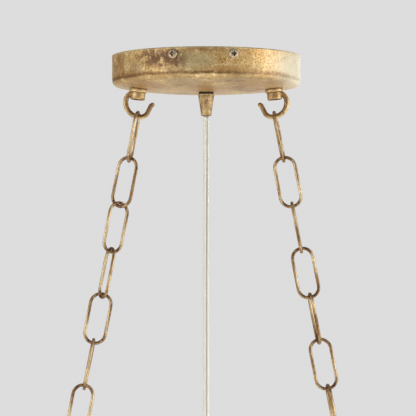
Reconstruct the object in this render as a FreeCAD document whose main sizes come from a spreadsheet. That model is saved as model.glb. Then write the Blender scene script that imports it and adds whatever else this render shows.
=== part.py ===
import FreeCAD, Part
import math
import os
import re
import Sketcher

# Oval chandelier, in millimetres. The origin is the centre of the canopy's rim on the ceiling, +Z is up,
# and +X runs along the oval. A sheet holds the driving sizes; the pieces are bound to them or read them.

Vector = FreeCAD.Vector
UP = Vector(0, 0, 1)
ACROSS = Vector(0, 1, 0)
ALONG = Vector(1, 0, 0)

SIZES = (
    # Canopy: a spun pan with a straight band and a shallow dome
    ("canopy_radius", 85),
    ("canopy_band", 26.5),
    ("canopy_depth", 32.6),
    ("canopy_gauge", 1.2),
    ("canopy_edge_round", 5),
    ("fit_gap", 0.2),
    ("slide_gap", 0.1),
    ("press_gap", 0.05),
    ("running_gap", 0.3),
    ("overrun", 5),
    # Mounting plate: a pressed steel plate with four turned-down tabs
    ("plate_gauge", 2),
    ("plate_disc_radius", 58),
    ("plate_wing_width", 78),
    ("plate_wall_gap", 1.1),
    ("tab_width", 12),
    ("tab_height", 12),
    ("box_hole_spacing", 88.9),
    ("box_hole_radius", 2.4),
    ("wire_hole_radius", 19),
    ("ground_screw_radius", 2),
    ("ground_head_radius", 4.2),
    ("ground_head_height", 3),
    ("ground_offset", 34),
    # Side screws: pan heads with a cross recess
    ("side_screw_radius", 2),
    ("side_screw_length", 10),
    ("side_head_radius", 4.25),
    ("side_head_height", 2.2),
    ("side_head_edge", 1.3),
    ("side_screw_drop", 6),
    ("recess_span", 4.8),
    ("recess_slot", 0.9),
    ("recess_depth", 1.4),
    # Collars and open hooks under the canopy
    ("hook_rim_inset", 24),
    ("collar_flange_radius", 8.1),
    ("collar_flange_height", 3.2),
    ("collar_body_radius", 6.75),
    ("collar_height", 9.8),
    ("collar_edge", 0.6),
    ("hook_radius", 13),
    ("hook_wire", 4.5),
    ("hook_inset", 1.4),
    ("hook_drop", 12.32),
    ("hook_neck_radius", 8.5),
    ("hook_bend_radius", 7),
    ("hook_tail", 6),
    ("hook_flare_radius", 3.4),
    ("stud_radius", 3),
    ("stud_reach", 11),
    ("washer_radius", 8),
    ("washer_gauge", 1.2),
    ("stud_nut_radius", 5.8),
    ("stud_nut_height", 5),
    # Cord gland and what holds it
    ("gland_washer_radius", 6.6),
    ("gland_washer_gauge", 1.6),
    ("gland_top_radius", 7.4),
    ("gland_end_radius", 5),
    ("gland_length", 19.5),
    ("gland_edge", 0.6),
    ("gland_mouth_radius", 3.6),
    ("gland_mouth_depth", 3),
    ("nipple_radius", 5),
    ("nipple_bore_radius", 3.9),
    ("nipple_thread_depth", 9),
    ("nipple_rise", 9),
    ("locknut_radius", 8),
    ("locknut_height", 3.5),
    # Flat twin cord, its tail in the canopy and the wire joints
    ("cord_strand_radius", 1.35),
    ("cord_strand_offset", 1.3),
    ("cord_tail_rise", 18),
    ("cord_end_gap", 0.8),
    ("lead_radius", 1.1),
    ("lead_reach", 9),
    ("connector_radius", 6),
    ("connector_mouth_radius", 4.4),
    ("connector_length", 20),
    # Chains of long links
    ("link_inner_length", 42),
    ("link_inner_width", 15.5),
    ("link_wire", 3),
    # Crossbar and eye bolts of the lamp frame
    ("eye_radius", 11),
    ("eye_wire", 5),
    ("eye_collar_radius", 5.5),
    ("eye_collar_height", 2.5),
    ("eye_stud_radius", 3),
    ("eye_nut_radius", 6),
    ("eye_nut_height", 5),
    ("eye_stud_tail", 1.5),
    ("bar_overhang", 16),
    ("bar_width", 20),
    ("bar_gauge", 8),
    # Stack on the centre tube: bushing, column, hub, bowl and finial
    ("tube_radius", 5),
    ("tube_bore_radius", 3.9),
    ("bushing_height", 24),
    ("bushing_base_radius", 12),
    ("bushing_top_radius", 7),
    ("bushing_rim", 3),
    ("cord_entry", 3),
    ("column_height", 66),
    ("column_foot_radius", 13),
    ("column_waist_radius", 8.5),
    ("column_bulb_radius", 19),
    ("hub_radius", 32),
    ("hub_height", 42),
    ("hub_wall", 3),
    ("hub_step_radius", 22),
    ("hub_step_height", 6),
    ("hub_shoulder_height", 9),
    ("hub_arm_drop", 22),
    ("bowl_height", 38),
    ("bowl_foot_radius", 12),
    ("bowl_wall", 2.5),
    ("bowl_spigot", 4),
    ("finial_ball_radius", 13),
    ("finial_neck_radius", 6.5),
    ("finial_neck_height", 6),
    ("finial_drop_radius", 5),
    ("finial_point_radius", 0.6),
    ("finial_tip_height", 14),
    ("finial_sink", 1.6),
    ("tube_window", 6),
    ("tube_window_height", 11),
    # Arms, oval band and candle lamps
    ("oval_half_length", 330),
    ("oval_half_width", 165),
    ("arm_radius", 5),
    ("arm_bore_radius", 4),
    ("arm_inset", 6),
    ("arm_lead", 6),
    ("arm_crest_radius", 45),
    ("arm_sweep_radius", 55),
    ("arm_sweep_drop", 40),
    ("arm_post", 40),
    ("band_height", 24),
    ("band_gauge", 3),
    ("band_clearance", 0.4),
    ("band_drop", 14),
    ("band_screw_radius", 1.5),
    ("band_head_radius", 3.6),
    ("band_head_height", 2),
    ("band_screw_length", 8),
    ("pan_radius", 40),
    ("pan_floor_radius", 21),
    ("pan_rise", 8),
    ("pan_gauge", 1.5),
    ("pan_seat", 10),
    ("holder_radius", 10.5),
    ("holder_height", 62),
    ("holder_socket_radius", 6.8),
    ("holder_socket_depth", 27),
    ("sleeve_radius", 13),
    ("sleeve_gauge", 1),
    ("sleeve_height", 88),
    ("bulb_base_radius", 6.3),
    ("bulb_base_length", 24),
    ("bulb_neck_radius", 10),
    ("bulb_neck_length", 28),
    ("bulb_radius", 17.5),
    ("bulb_half_height", 33),
)

# Turns of each link about its chain, read from how wide each one looks, in degrees
LINK_TURNS = {
    "left": (82, -28, 34, -67, 0, 90, 16, -68, 14, -80),
    "right": (83, 0, 87, 0, -84, 0, -84, 25, -38, 72),
}
# How far the chains lean outward, and where the two side screws of the front sit, in degrees
CHAIN_LEAN = 10.95
SCREW_SPREAD = 18.3
SCREW_SHIFT = -1.8
# Where a hook's neck, ring and bend end, in degrees from inward toward up, and how far its tip flares out
HOOK_NECK_END = 170
HOOK_RING_END = 275
HOOK_BEND_END = 334
HOOK_FLARE = 40
# Places of the six candle lamps around the oval, in degrees of its parameter
LAMP_ANGLES = (0, 60, 120, 180, 240, 300)
# The column's turned steps from its top: the radius of each, and its depth as a share of the height
COLUMN_STEP_SHARES = (
    ("foot", 0.0625),
    ("waist", 0.125),
    ("waist", 0.25),
    ("foot", 0.375),
    ("bulb", 0.5625),
    ("bulb", 0.6875),
    ("foot", 0.8125),
    ("waist", 0.875),
    ("foot", 0.9375),
)
# Depths on the hub's bowl as shares of its height, and the share of its glass that a bulb's middle rises
BOWL_SHOULDER_SHARE = 0.25
BOWL_WAIST_SHARE = 0.625
BOWL_FOOT_SHARE = 0.875
BULB_RISE_SHARE = 0.8

doc = FreeCAD.newDocument("oval_chandelier")
sheet = doc.addObject("Spreadsheet::Sheet", "sizes")
for row, (alias, value) in enumerate(SIZES, start=1):
    sheet.set(f"A{row}", str(value))
    sheet.setAlias(f"A{row}", alias)
doc.recompute()
size = {alias: float(sheet.get(alias)) for alias, value in SIZES}
nodes = {}


def bound(formula):
    """The formula with each size's name pointed at its cell."""
    return re.sub(r"[a-z][a-z_]+", r"sizes.\g<0>", formula)


def value_of(formula):
    """What a formula of the sheet's sizes comes to."""
    return float(sheet.evalExpression(bound(formula)))


def primitive(kind, name, place=None, **fields):
    """A Part primitive whose fields are bound to formulas of the sheet's sizes."""
    item = doc.addObject(f"Part::{kind}", name)
    for field, formula in fields.items():
        item.setExpression(field, bound(formula))
    if place:
        item.Placement = place
    return item


def moved(x=0, y=0, z=0, turn=None):
    return FreeCAD.Placement(Vector(x, y, z), turn or FreeCAD.Rotation())


def turned_about(axis, degrees):
    return FreeCAD.Rotation(axis, degrees)


def fused(name, parts, place=None):
    item = doc.addObject("Part::MultiFuse", name)
    item.Shapes = parts
    if place:
        item.Placement = place
    return item


def cut(name, base, tool):
    item = doc.addObject("Part::Cut", name)
    item.Base = base
    item.Tool = tool
    return item


def common(name, parts):
    item = doc.addObject("Part::MultiCommon", name)
    item.Shapes = parts
    return item


def turned(name, outline, place=None):
    """A body turned about its own Z axis from an outline of (radius, height) formulas."""
    body = doc.addObject("PartDesign::Body", name)
    plane = next(item for item in body.Origin.OriginFeatures if item.Role == "XZ_Plane")
    sketch = body.newObject("Sketcher::SketchObject", f"{name}_outline")
    sketch.AttachmentSupport = [(plane, "")]
    sketch.MapMode = "FlatFace"
    corners = [Vector(value_of(radius), value_of(height), 0) for radius, height in outline]
    count = len(corners)
    for index in range(count):
        following = corners[(index + 1) % count]
        sketch.addGeometry(Part.LineSegment(corners[index], following), False)
    for index in range(count):
        sketch.addConstraint(Sketcher.Constraint("Coincident", index, 2, (index + 1) % count, 1))
    for index, (radius, height) in enumerate(outline):
        across = Sketcher.Constraint("DistanceX", -1, 1, index, 1, corners[index].x)
        sketch.setExpression(f"Constraints[{sketch.addConstraint(across)}]", bound(radius))
        upward = Sketcher.Constraint("DistanceY", -1, 1, index, 1, corners[index].y)
        sketch.setExpression(f"Constraints[{sketch.addConstraint(upward)}]", bound(height))
    turning = body.newObject("PartDesign::Revolution", f"{name}_turning")
    turning.Profile = sketch
    turning.ReferenceAxis = (sketch, ["V_Axis"])
    turning.Angle = 360
    body.Tip = turning
    if place:
        body.Placement = place
    return body


def keep(name, item):
    """Names the finished sub-part after its node."""
    item.Label = name
    nodes[name] = item
    return item


def group(name, pattern, places):
    """One node of identical solids, each a copy of the pattern in a place of its own."""
    doc.recompute()
    copies = []
    for place in places:
        copy = pattern.Shape.copy()
        copy.Placement = place.multiply(copy.Placement)
        copies.append(copy)
    item = doc.addObject("Part::Feature", name)
    item.Shape = Part.makeCompound(copies)
    return keep(name, item)


# Canopy: one pan, open to the ceiling, holed for the gland, two hook studs and four side screws.
dome_formula = (
    "( canopy_radius * canopy_radius + ( canopy_depth - canopy_band ) * ( canopy_depth - canopy_band ) )"
    " / ( 2 * ( canopy_depth - canopy_band ) )"
)
dome_radius = value_of(dome_formula)
dome_centre = dome_radius - size["canopy_depth"]


def pan(name, inset, lift, rounding):
    """A drum closed below by the dome, the crease between them rounded."""
    drum = primitive(
        "Cylinder",
        f"{name}_drum",
        moved(z=-size["canopy_depth"] - size["overrun"]),
        Radius=f"canopy_radius - {inset}",
        Height=f"canopy_depth + overrun + {lift}",
    )
    dome = primitive("Sphere", f"{name}_dome", moved(z=dome_centre), Radius=f"{dome_formula} - {inset}")
    blank = common(f"{name}_blank", [drum, dome])
    doc.recompute()
    drum_radius = float(drum.Radius)
    crease = next(
        number
        for number, edge in enumerate(blank.Shape.Edges, start=1)
        if abs(edge.BoundBox.XMax - drum_radius) < size["fit_gap"]
        and edge.BoundBox.ZLength < size["fit_gap"]
        and edge.BoundBox.ZMax < -size["overrun"]
    )
    rounded = doc.addObject("Part::Fillet", f"{name}_rounded")
    rounded.Base = blank
    rounded.Edges = [(crease, rounding, rounding)]
    return rounded


canopy_outside = pan("canopy_outside", "0", "0", size["canopy_edge_round"])
canopy_inside = pan(
    "canopy_inside", "canopy_gauge", "overrun", size["canopy_edge_round"] - size["canopy_gauge"]
)
canopy_pan = cut("canopy_pan", canopy_outside, canopy_inside)

screw_angles = [
    math.radians(-90 + facing + SCREW_SHIFT + side * SCREW_SPREAD)
    for facing in (0, 180)
    for side in (-1, 1)
]


def screw_place(angle):
    """A place on the canopy's band, with local Z pointing outward."""
    outward = Vector(math.cos(angle), math.sin(angle), 0)
    return FreeCAD.Placement(
        outward * size["canopy_radius"] - UP * size["side_screw_drop"],
        FreeCAD.Rotation(UP, outward),
    )


def hook_frame(side):
    """The seat of a hook on the dome: its point, and a turn that points local Z down and outward."""
    seat = size["canopy_radius"] - size["hook_rim_inset"]
    lean = math.asin(seat / dome_radius)
    point = Vector(side * seat, 0, dome_centre - dome_radius * math.cos(lean))
    downward = Vector(side * math.sin(lean), 0, -math.cos(lean))
    return point, downward


canopy_holes = [
    primitive(
        "Cylinder",
        "gland_hole",
        moved(z=-size["canopy_depth"] - size["overrun"]),
        Radius="nipple_radius + fit_gap",
        Height="2 * overrun",
    )
]
for side_name, side in (("left", -1), ("right", 1)):
    seat_point, downward = hook_frame(side)
    canopy_holes.append(
        primitive(
            "Cylinder",
            f"{side_name}_stud_hole",
            FreeCAD.Placement(seat_point - downward * size["overrun"], FreeCAD.Rotation(UP, downward)),
            Radius="stud_radius + fit_gap",
            Height="2 * overrun",
        )
    )
for number, angle in enumerate(screw_angles, start=1):
    hole_place = screw_place(angle).multiply(moved(z=-size["overrun"]))
    canopy_holes.append(
        primitive(
            "Cylinder",
            f"side_hole_{number}",
            hole_place,
            Radius="side_screw_radius + fit_gap",
            Height="2 * overrun",
        )
    )
keep("canopy_shell", cut("canopy_holed", canopy_pan, fused("canopy_hole_set", canopy_holes)))

# Mounting plate: a steel disc with two wings, each wing with two tabs turned down for the side screws.
plate_reach = "canopy_radius - canopy_gauge - plate_wall_gap"
plate_disc = primitive(
    "Cylinder", "plate_disc", moved(z=-size["plate_gauge"]), Radius="plate_disc_radius", Height="plate_gauge"
)
plate_wing = primitive(
    "Box",
    "plate_wing",
    moved(-size["plate_wing_width"] / 2, -size["canopy_radius"], -size["plate_gauge"]),
    Length="plate_wing_width",
    Width="2 * canopy_radius",
    Height="plate_gauge",
)
plate_limit = primitive(
    "Cylinder", "plate_limit", moved(z=-size["overrun"]), Radius=plate_reach, Height="2 * overrun"
)
tab_start = value_of(plate_reach) - size["plate_gauge"] - size["fit_gap"]
plate_parts = [plate_disc, common("plate_wings", [plate_wing, plate_limit])]
plate_holes = [
    primitive(
        "Cylinder",
        "plate_wire_hole",
        moved(z=-size["overrun"]),
        Radius="wire_hole_radius",
        Height="2 * overrun",
    ),
    primitive(
        "Cylinder",
        "plate_ground_hole",
        moved(y=size["ground_offset"], z=-size["overrun"]),
        Radius="ground_screw_radius + fit_gap",
        Height="2 * overrun",
    ),
]
for side_name, side in (("left", -1), ("right", 1)):
    plate_holes.append(
        primitive(
            "Cylinder",
            f"{side_name}_box_hole",
            moved(side * size["box_hole_spacing"] / 2, 0, -size["overrun"]),
            Radius="box_hole_radius",
            Height="2 * overrun",
        )
    )
for number, angle in enumerate(screw_angles, start=1):
    tab_turn = turned_about(UP, math.degrees(angle))
    tab_corner = tab_turn.multVec(
        Vector(tab_start, -size["tab_width"] / 2, -size["tab_height"])
    )
    plate_parts.append(
        primitive(
            "Box",
            f"plate_tab_{number}",
            FreeCAD.Placement(tab_corner, tab_turn),
            Length="plate_gauge",
            Width="tab_width",
            Height="tab_height",
        )
    )
    plate_holes.append(
        primitive(
            "Cylinder",
            f"plate_tab_hole_{number}",
            screw_place(angle).multiply(moved(z=-2 * size["overrun"])),
            Radius="side_screw_radius + press_gap",
            Height="2 * overrun",
        )
    )
keep(
    "mounting_plate",
    cut("plate_holed", fused("plate_blank", plate_parts), fused("plate_hole_set", plate_holes)),
)

# Ground screw: a hexagon head under the plate.
ground_head = primitive(
    "Prism",
    "ground_head",
    moved(y=size["ground_offset"], z=-size["plate_gauge"] - size["ground_head_height"]),
    Circumradius="ground_head_radius",
    Height="ground_head_height",
)
ground_shank = primitive(
    "Cylinder",
    "ground_shank",
    moved(y=size["ground_offset"], z=-size["plate_gauge"] - size["ground_head_height"]),
    Radius="ground_screw_radius",
    Height="ground_head_height + plate_gauge",
)
keep("ground_screw", fused("ground_screw_whole", [ground_head, ground_shank]))

# Side screws: four pan heads with a cross recess, screwed through the band into the tabs.
screw_blank = turned(
    "side_screw_blank",
    (
        ("0", "-side_screw_length"),
        ("side_screw_radius", "-side_screw_length"),
        ("side_screw_radius", "0"),
        ("side_head_radius", "0"),
        ("side_head_radius", "side_head_height - side_head_edge"),
        ("side_head_radius - side_head_edge", "side_head_height"),
        ("0", "side_head_height"),
    ),
)
recess_start = size["side_head_height"] - size["recess_depth"]
recess_bars = [
    primitive(
        "Box",
        "recess_across",
        moved(-size["recess_span"] / 2, -size["recess_slot"] / 2, recess_start),
        Length="recess_span",
        Width="recess_slot",
        Height="side_head_height",
    ),
    primitive(
        "Box",
        "recess_upright",
        moved(-size["recess_slot"] / 2, -size["recess_span"] / 2, recess_start),
        Length="recess_slot",
        Width="recess_span",
        Height="side_head_height",
    ),
]
side_screw = cut("side_screw", screw_blank, fused("recess", recess_bars))
group(
    "canopy_side_screws",
    side_screw,
    [screw_place(angle).multiply(moved(z=size["press_gap"])) for angle in screw_angles],
)

# Hooks: a round bar bent to an open ring with a flared tip, its upper end run on through the collar as a
# threaded stud.
hook_wire_radius = size["hook_wire"] / 2


def hook_centre(side):
    """The middle of a hook's ring."""
    point, downward = hook_frame(side)
    return Vector(point.x - side * size["hook_inset"], 0, point.z - size["hook_drop"])


def hook_point(side, middle, radius, angle):
    """A point of the hook's plane at an angle about a middle, from inward toward up."""
    turn = math.radians(angle)
    return middle + Vector(-side * radius * math.cos(turn), 0, radius * math.sin(turn))


def hook_bar(name, side, growth):
    """The bent bar and its stud, grown all over by a clearance formula."""
    bar_radius = f"hook_wire / 2 + {growth}"

    def arc(arc_name, middle, radius, low, high):
        first = low if side < 0 else 180 - high
        turn = turned_about(ALONG, 90).multiply(turned_about(UP, first))
        piece = primitive(
            "Torus",
            f"{name}_{arc_name}",
            FreeCAD.Placement(middle, turn),
            Radius1=radius,
            Radius2=bar_radius,
        )
        piece.Angle3 = high - low
        return piece

    point, downward = hook_frame(side)
    centre = hook_centre(side)
    neck_centre = hook_point(side, centre, size["hook_radius"] - size["hook_neck_radius"], HOOK_NECK_END)
    to_point = point - neck_centre
    along = to_point.dot(downward)
    reach = -along - math.sqrt(along**2 - to_point.dot(to_point) + size["hook_neck_radius"] ** 2)
    start = point + downward * reach
    start_angle = math.degrees(math.atan2(start.z - neck_centre.z, -side * (start.x - neck_centre.x)))
    bend_centre = hook_point(side, centre, size["hook_radius"] - size["hook_bend_radius"], HOOK_RING_END)
    tail_start = hook_point(side, bend_centre, size["hook_bend_radius"], HOOK_BEND_END)
    tail_end = hook_point(side, tail_start, size["hook_tail"], HOOK_BEND_END + 90)
    flare_centre = hook_point(side, tail_end, size["hook_flare_radius"], HOOK_BEND_END)
    flare_start = HOOK_BEND_END - 180
    tip_point = hook_point(side, flare_centre, size["hook_flare_radius"], flare_start - HOOK_FLARE)
    neck = arc("neck", neck_centre, "hook_neck_radius", start_angle, HOOK_NECK_END)
    ring = arc("ring", centre, "hook_radius", HOOK_NECK_END, HOOK_RING_END)
    bend = arc("bend", bend_centre, "hook_bend_radius", HOOK_RING_END, HOOK_BEND_END)
    flare = arc("flare", flare_centre, "hook_flare_radius", flare_start - HOOK_FLARE, flare_start)
    tail = primitive(
        "Cylinder",
        f"{name}_tail",
        FreeCAD.Placement(tail_start, FreeCAD.Rotation(UP, tail_end - tail_start)),
        Radius=bar_radius,
        Height="hook_tail",
    )
    tip = primitive(
        "Sphere", f"{name}_tip", FreeCAD.Placement(tip_point, FreeCAD.Rotation()), Radius=bar_radius
    )
    root = primitive(
        "Sphere",
        f"{name}_root",
        FreeCAD.Placement(start, FreeCAD.Rotation()),
        Radius=f"stud_radius + {growth}",
    )
    stud = primitive(
        "Cylinder",
        f"{name}_stud",
        FreeCAD.Placement(start, FreeCAD.Rotation(UP, downward * -1)),
        Radius=f"stud_radius + {growth}",
    )
    stud.Height = reach + size["canopy_gauge"] + size["stud_reach"]
    return fused(f"{name}_bar", [neck, ring, bend, tail, flare, tip, root, stud])


for side_name, side in (("left", -1), ("right", 1)):
    seat_point, downward = hook_frame(side)
    facing_down = FreeCAD.Rotation(UP, downward)
    collar_blank = turned(
        f"{side_name}_collar_blank",
        (
            ("0", "slide_gap"),
            ("collar_flange_radius", "slide_gap"),
            ("collar_flange_radius", "collar_flange_height"),
            ("collar_body_radius", "collar_flange_height"),
            ("collar_body_radius", "collar_height - collar_edge"),
            ("collar_body_radius - collar_edge", "collar_height"),
            ("0", "collar_height"),
        ),
        FreeCAD.Placement(seat_point, facing_down),
    )
    collar_bore = hook_bar(f"{side_name}_collar_bore", side, "slide_gap")
    keep(f"{side_name}_collar", cut(f"{side_name}_collar_cut", collar_blank, collar_bore))
    keep(f"{side_name}_hook", hook_bar(f"{side_name}_hook", side, "0"))

stud_washer = turned(
    "stud_washer",
    (
        ("stud_radius + fit_gap", "0"),
        ("washer_radius", "0"),
        ("washer_radius", "washer_gauge"),
        ("stud_radius + fit_gap", "washer_gauge"),
    ),
)
stud_nut = cut(
    "stud_nut",
    primitive("Prism", "stud_nut_blank", Circumradius="stud_nut_radius", Height="stud_nut_height"),
    primitive(
        "Cylinder",
        "stud_nut_bore",
        moved(z=-size["overrun"]),
        Radius="stud_radius + press_gap",
        Height="stud_nut_height + 2 * overrun",
    ),
)
washer_places = []
nut_places = []
for side in (-1, 1):
    seat_point, downward = hook_frame(side)
    facing_up = FreeCAD.Rotation(UP, downward * -1)
    inner_face = seat_point - downward * (size["canopy_gauge"] + size["fit_gap"])
    washer_places.append(FreeCAD.Placement(inner_face, facing_up))
    nut_places.append(
        FreeCAD.Placement(inner_face - downward * (size["washer_gauge"] + size["press_gap"]), facing_up)
    )
group("hook_washers", stud_washer, washer_places)
group("hook_nuts", stud_nut, nut_places)

# Cord gland: a tapered sleeve whose throat fits the cord, on a threaded nipple, with a rubber washer above
# and a locknut inside.
gland_top = size["canopy_depth"] + size["gland_washer_gauge"]
gland_foot = gland_top + size["gland_length"]
keep(
    "gland_washer",
    turned(
        "gland_washer",
        (
            ("nipple_radius + fit_gap", "0"),
            ("gland_washer_radius", "0"),
            ("gland_washer_radius", "gland_washer_gauge - press_gap"),
            ("nipple_radius + fit_gap", "gland_washer_gauge - press_gap"),
        ),
        moved(z=-gland_top),
    ),
)
keep(
    "cord_gland",
    turned(
        "cord_gland",
        (
            ("nipple_radius + press_gap", "0"),
            ("gland_top_radius - gland_edge", "0"),
            ("gland_top_radius", "-gland_edge"),
            ("gland_end_radius", "gland_edge - gland_length"),
            ("gland_end_radius - gland_edge", "-gland_length"),
            ("gland_mouth_radius", "-gland_length"),
            ("cord_strand_offset + cord_strand_radius + fit_gap", "gland_mouth_depth - gland_length"),
            ("cord_strand_offset + cord_strand_radius + fit_gap", "-nipple_thread_depth"),
            ("nipple_radius + press_gap", "-nipple_thread_depth"),
        ),
        moved(z=-gland_top),
    ),
)
nipple_foot = gland_top + size["nipple_thread_depth"] - size["fit_gap"]
keep(
    "gland_nipple",
    turned(
        "gland_nipple",
        (
            ("nipple_bore_radius", "0"),
            ("nipple_radius", "0"),
            ("nipple_radius", "gland_washer_gauge + nipple_thread_depth + nipple_rise"),
            ("nipple_bore_radius", "gland_washer_gauge + nipple_thread_depth + nipple_rise"),
        ),
        moved(z=-nipple_foot),
    ),
)
keep(
    "gland_locknut",
    cut(
        "gland_locknut",
        primitive(
            "Prism",
            "locknut_blank",
            moved(z=size["canopy_gauge"] + size["fit_gap"] - size["canopy_depth"]),
            Circumradius="locknut_radius",
            Height="locknut_height",
        ),
        primitive(
            "Cylinder",
            "locknut_bore",
            moved(z=-size["canopy_depth"]),
            Radius="nipple_radius + press_gap",
            Height="locknut_height + 2 * overrun",
        ),
    ),
)


def twin_cord(name, foot, length):
    """A straight stretch of flat twin cord: two strands side by side, moulded together."""
    strands = []
    for side_name, side in (("left", -1), ("right", 1)):
        strand = primitive(
            "Cylinder",
            f"{name}_{side_name}",
            moved(side * size["cord_strand_offset"], 0, foot),
            Radius="cord_strand_radius",
        )
        strand.Height = length
        strands.append(strand)
    return fused(f"{name}_twin", strands)


# Canopy tail of the cord: up through the nipple, with a bare lead to each wire connector.
cord_top = gland_foot + size["fit_gap"]
tail_foot = cord_top - size["cord_end_gap"]
tail_top = size["canopy_depth"] - size["cord_tail_rise"]
keep("cord_tail", twin_cord("cord_tail", -tail_foot, tail_foot - tail_top))
lead_height = -tail_top - size["lead_radius"] * 2
lead_pattern = primitive(
    "Cylinder",
    "lead",
    moved(turn=turned_about(ACROSS, 90)),
    Radius="lead_radius",
    Height="lead_reach",
)
connector_pattern = primitive(
    "Cone",
    "connector",
    moved(turn=turned_about(ACROSS, 90)),
    Radius1="connector_mouth_radius",
    Radius2="connector_radius",
    Height="connector_length",
)
strand_edge = size["cord_strand_offset"] + size["cord_strand_radius"] + size["press_gap"]
lead_end = strand_edge + size["lead_reach"] + size["press_gap"]
about_middle = turned_about(UP, 180)
group(
    "canopy_leads",
    lead_pattern,
    [moved(strand_edge, 0, lead_height), moved(-strand_edge, 0, lead_height, about_middle)],
)
group(
    "wire_connectors",
    connector_pattern,
    [moved(lead_end, 0, lead_height), moved(-lead_end, 0, lead_height, about_middle)],
)

# Chains: ten long welded links a side, each hung in the one above along a line through the hook's centre.
lean = math.radians(CHAIN_LEAN)
wire_gap = size["running_gap"]
first_apex = size["hook_radius"] - hook_wire_radius - size["link_wire"] / 2 - wire_gap
link_height = size["link_inner_length"] + size["link_wire"]
pitch = size["link_inner_length"] - wire_gap
link_count = len(LINK_TURNS["left"])


def chain_line(side, distance):
    """A point on a chain's line, a distance below its hook's centre."""
    return hook_centre(side) + Vector(side * math.sin(lean), 0, -math.cos(lean)) * distance


def chain_link(name, place):
    """A long link: two half rings joined by two straight sides."""
    upright = turned_about(ALONG, 90)
    half_straight = (size["link_inner_length"] - size["link_inner_width"]) / 2
    pieces = []
    for end_name, end in (("top", 1), ("foot", -1)):
        bow = primitive(
            "Torus",
            f"{name}_{end_name}",
            moved(z=end * half_straight, turn=upright.multiply(turned_about(UP, 90 - 90 * end))),
            Radius1="link_inner_width / 2 + link_wire / 2",
            Radius2="link_wire / 2",
        )
        bow.Angle3 = 180
        pieces.append(bow)
    for side_name, side in (("near", -1), ("far", 1)):
        offset = side * (size["link_inner_width"] + size["link_wire"]) / 2
        pieces.append(
            primitive(
                "Cylinder",
                f"{name}_{side_name}",
                moved(offset, 0, -half_straight),
                Radius="link_wire / 2",
                Height="link_inner_length - link_inner_width",
            )
        )
    return fused(name, pieces, place)


for side_name, side in (("left", -1), ("right", 1)):
    tilt = turned_about(ACROSS, -side * CHAIN_LEAN)
    for number, link_turn in enumerate(LINK_TURNS[side_name], start=1):
        middle = chain_line(side, first_apex + (number - 1) * pitch + link_height / 2)
        place = FreeCAD.Placement(middle, tilt.multiply(turned_about(UP, link_turn)))
        name = f"{side_name}_link_{number:02d}"
        keep(name, chain_link(name, place))

# Crossbar: a flat forged bar hung from both chains by eye bolts.
last_apex = first_apex + (link_count - 1) * pitch + link_height
eye_wire_distance = last_apex - size["link_wire"] / 2 - wire_gap - size["eye_wire"] / 2
eye_centre_distance = eye_wire_distance + size["eye_radius"]
eye_points = {side: chain_line(side, eye_centre_distance) for side in (-1, 1)}
eye_reach = eye_points[1].x
eye_height = eye_points[1].z
bar_top = eye_height - size["eye_radius"] - size["eye_wire"] / 2 - size["eye_collar_height"] / 2
bar_half = eye_reach + size["bar_overhang"]
bar_blank = primitive(
    "Box",
    "bar_blank",
    moved(-bar_half, -size["bar_width"] / 2, bar_top - size["bar_gauge"]),
    Width="bar_width",
    Height="bar_gauge",
)
bar_blank.Length = 2 * bar_half
bar_holes = [
    primitive(
        "Cylinder",
        "bar_tube_hole",
        moved(z=bar_top - size["bar_gauge"] - size["overrun"]),
        Radius="tube_radius + fit_gap",
        Height="bar_gauge + 2 * overrun",
    )
]
for side_name, side in (("left", -1), ("right", 1)):
    bar_holes.append(
        primitive(
            "Cylinder",
            f"{side_name}_eye_hole",
            moved(side * eye_reach, 0, bar_top - size["bar_gauge"] - size["overrun"]),
            Radius="eye_stud_radius + fit_gap",
            Height="bar_gauge + 2 * overrun",
        )
    )
keep("crossbar", cut("crossbar", bar_blank, fused("bar_hole_set", bar_holes)))

for side_name, side in (("left", -1), ("right", 1)):
    eye = primitive(
        "Torus",
        f"{side_name}_eye",
        moved(side * eye_reach, 0, eye_height, turned_about(ALONG, 90)),
        Radius1="eye_radius",
        Radius2="eye_wire / 2",
    )
    eye_collar = primitive(
        "Cylinder",
        f"{side_name}_eye_collar",
        moved(side * eye_reach, 0, bar_top + size["press_gap"]),
        Radius="eye_collar_radius",
        Height="eye_collar_height",
    )
    eye_stud_foot = bar_top - size["bar_gauge"] - size["eye_nut_height"] - size["eye_stud_tail"]
    eye_stud = primitive(
        "Cylinder",
        f"{side_name}_eye_stud",
        moved(side * eye_reach, 0, eye_stud_foot),
        Radius="eye_stud_radius",
        Height="bar_gauge + eye_nut_height + eye_stud_tail + eye_collar_height",
    )
    keep(f"{side_name}_eye_bolt", fused(f"{side_name}_eye_bolt", [eye, eye_collar, eye_stud]))

eye_nut = cut(
    "eye_nut",
    primitive("Prism", "eye_nut_blank", Circumradius="eye_nut_radius", Height="eye_nut_height"),
    primitive(
        "Cylinder",
        "eye_nut_bore",
        moved(z=-size["overrun"]),
        Radius="eye_stud_radius + press_gap",
        Height="eye_nut_height + 2 * overrun",
    ),
)
nut_foot = bar_top - size["bar_gauge"] - size["eye_nut_height"] - size["press_gap"]
group("eye_bolt_nuts", eye_nut, [moved(side * eye_reach, 0, nut_foot) for side in (-1, 1)])

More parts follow.
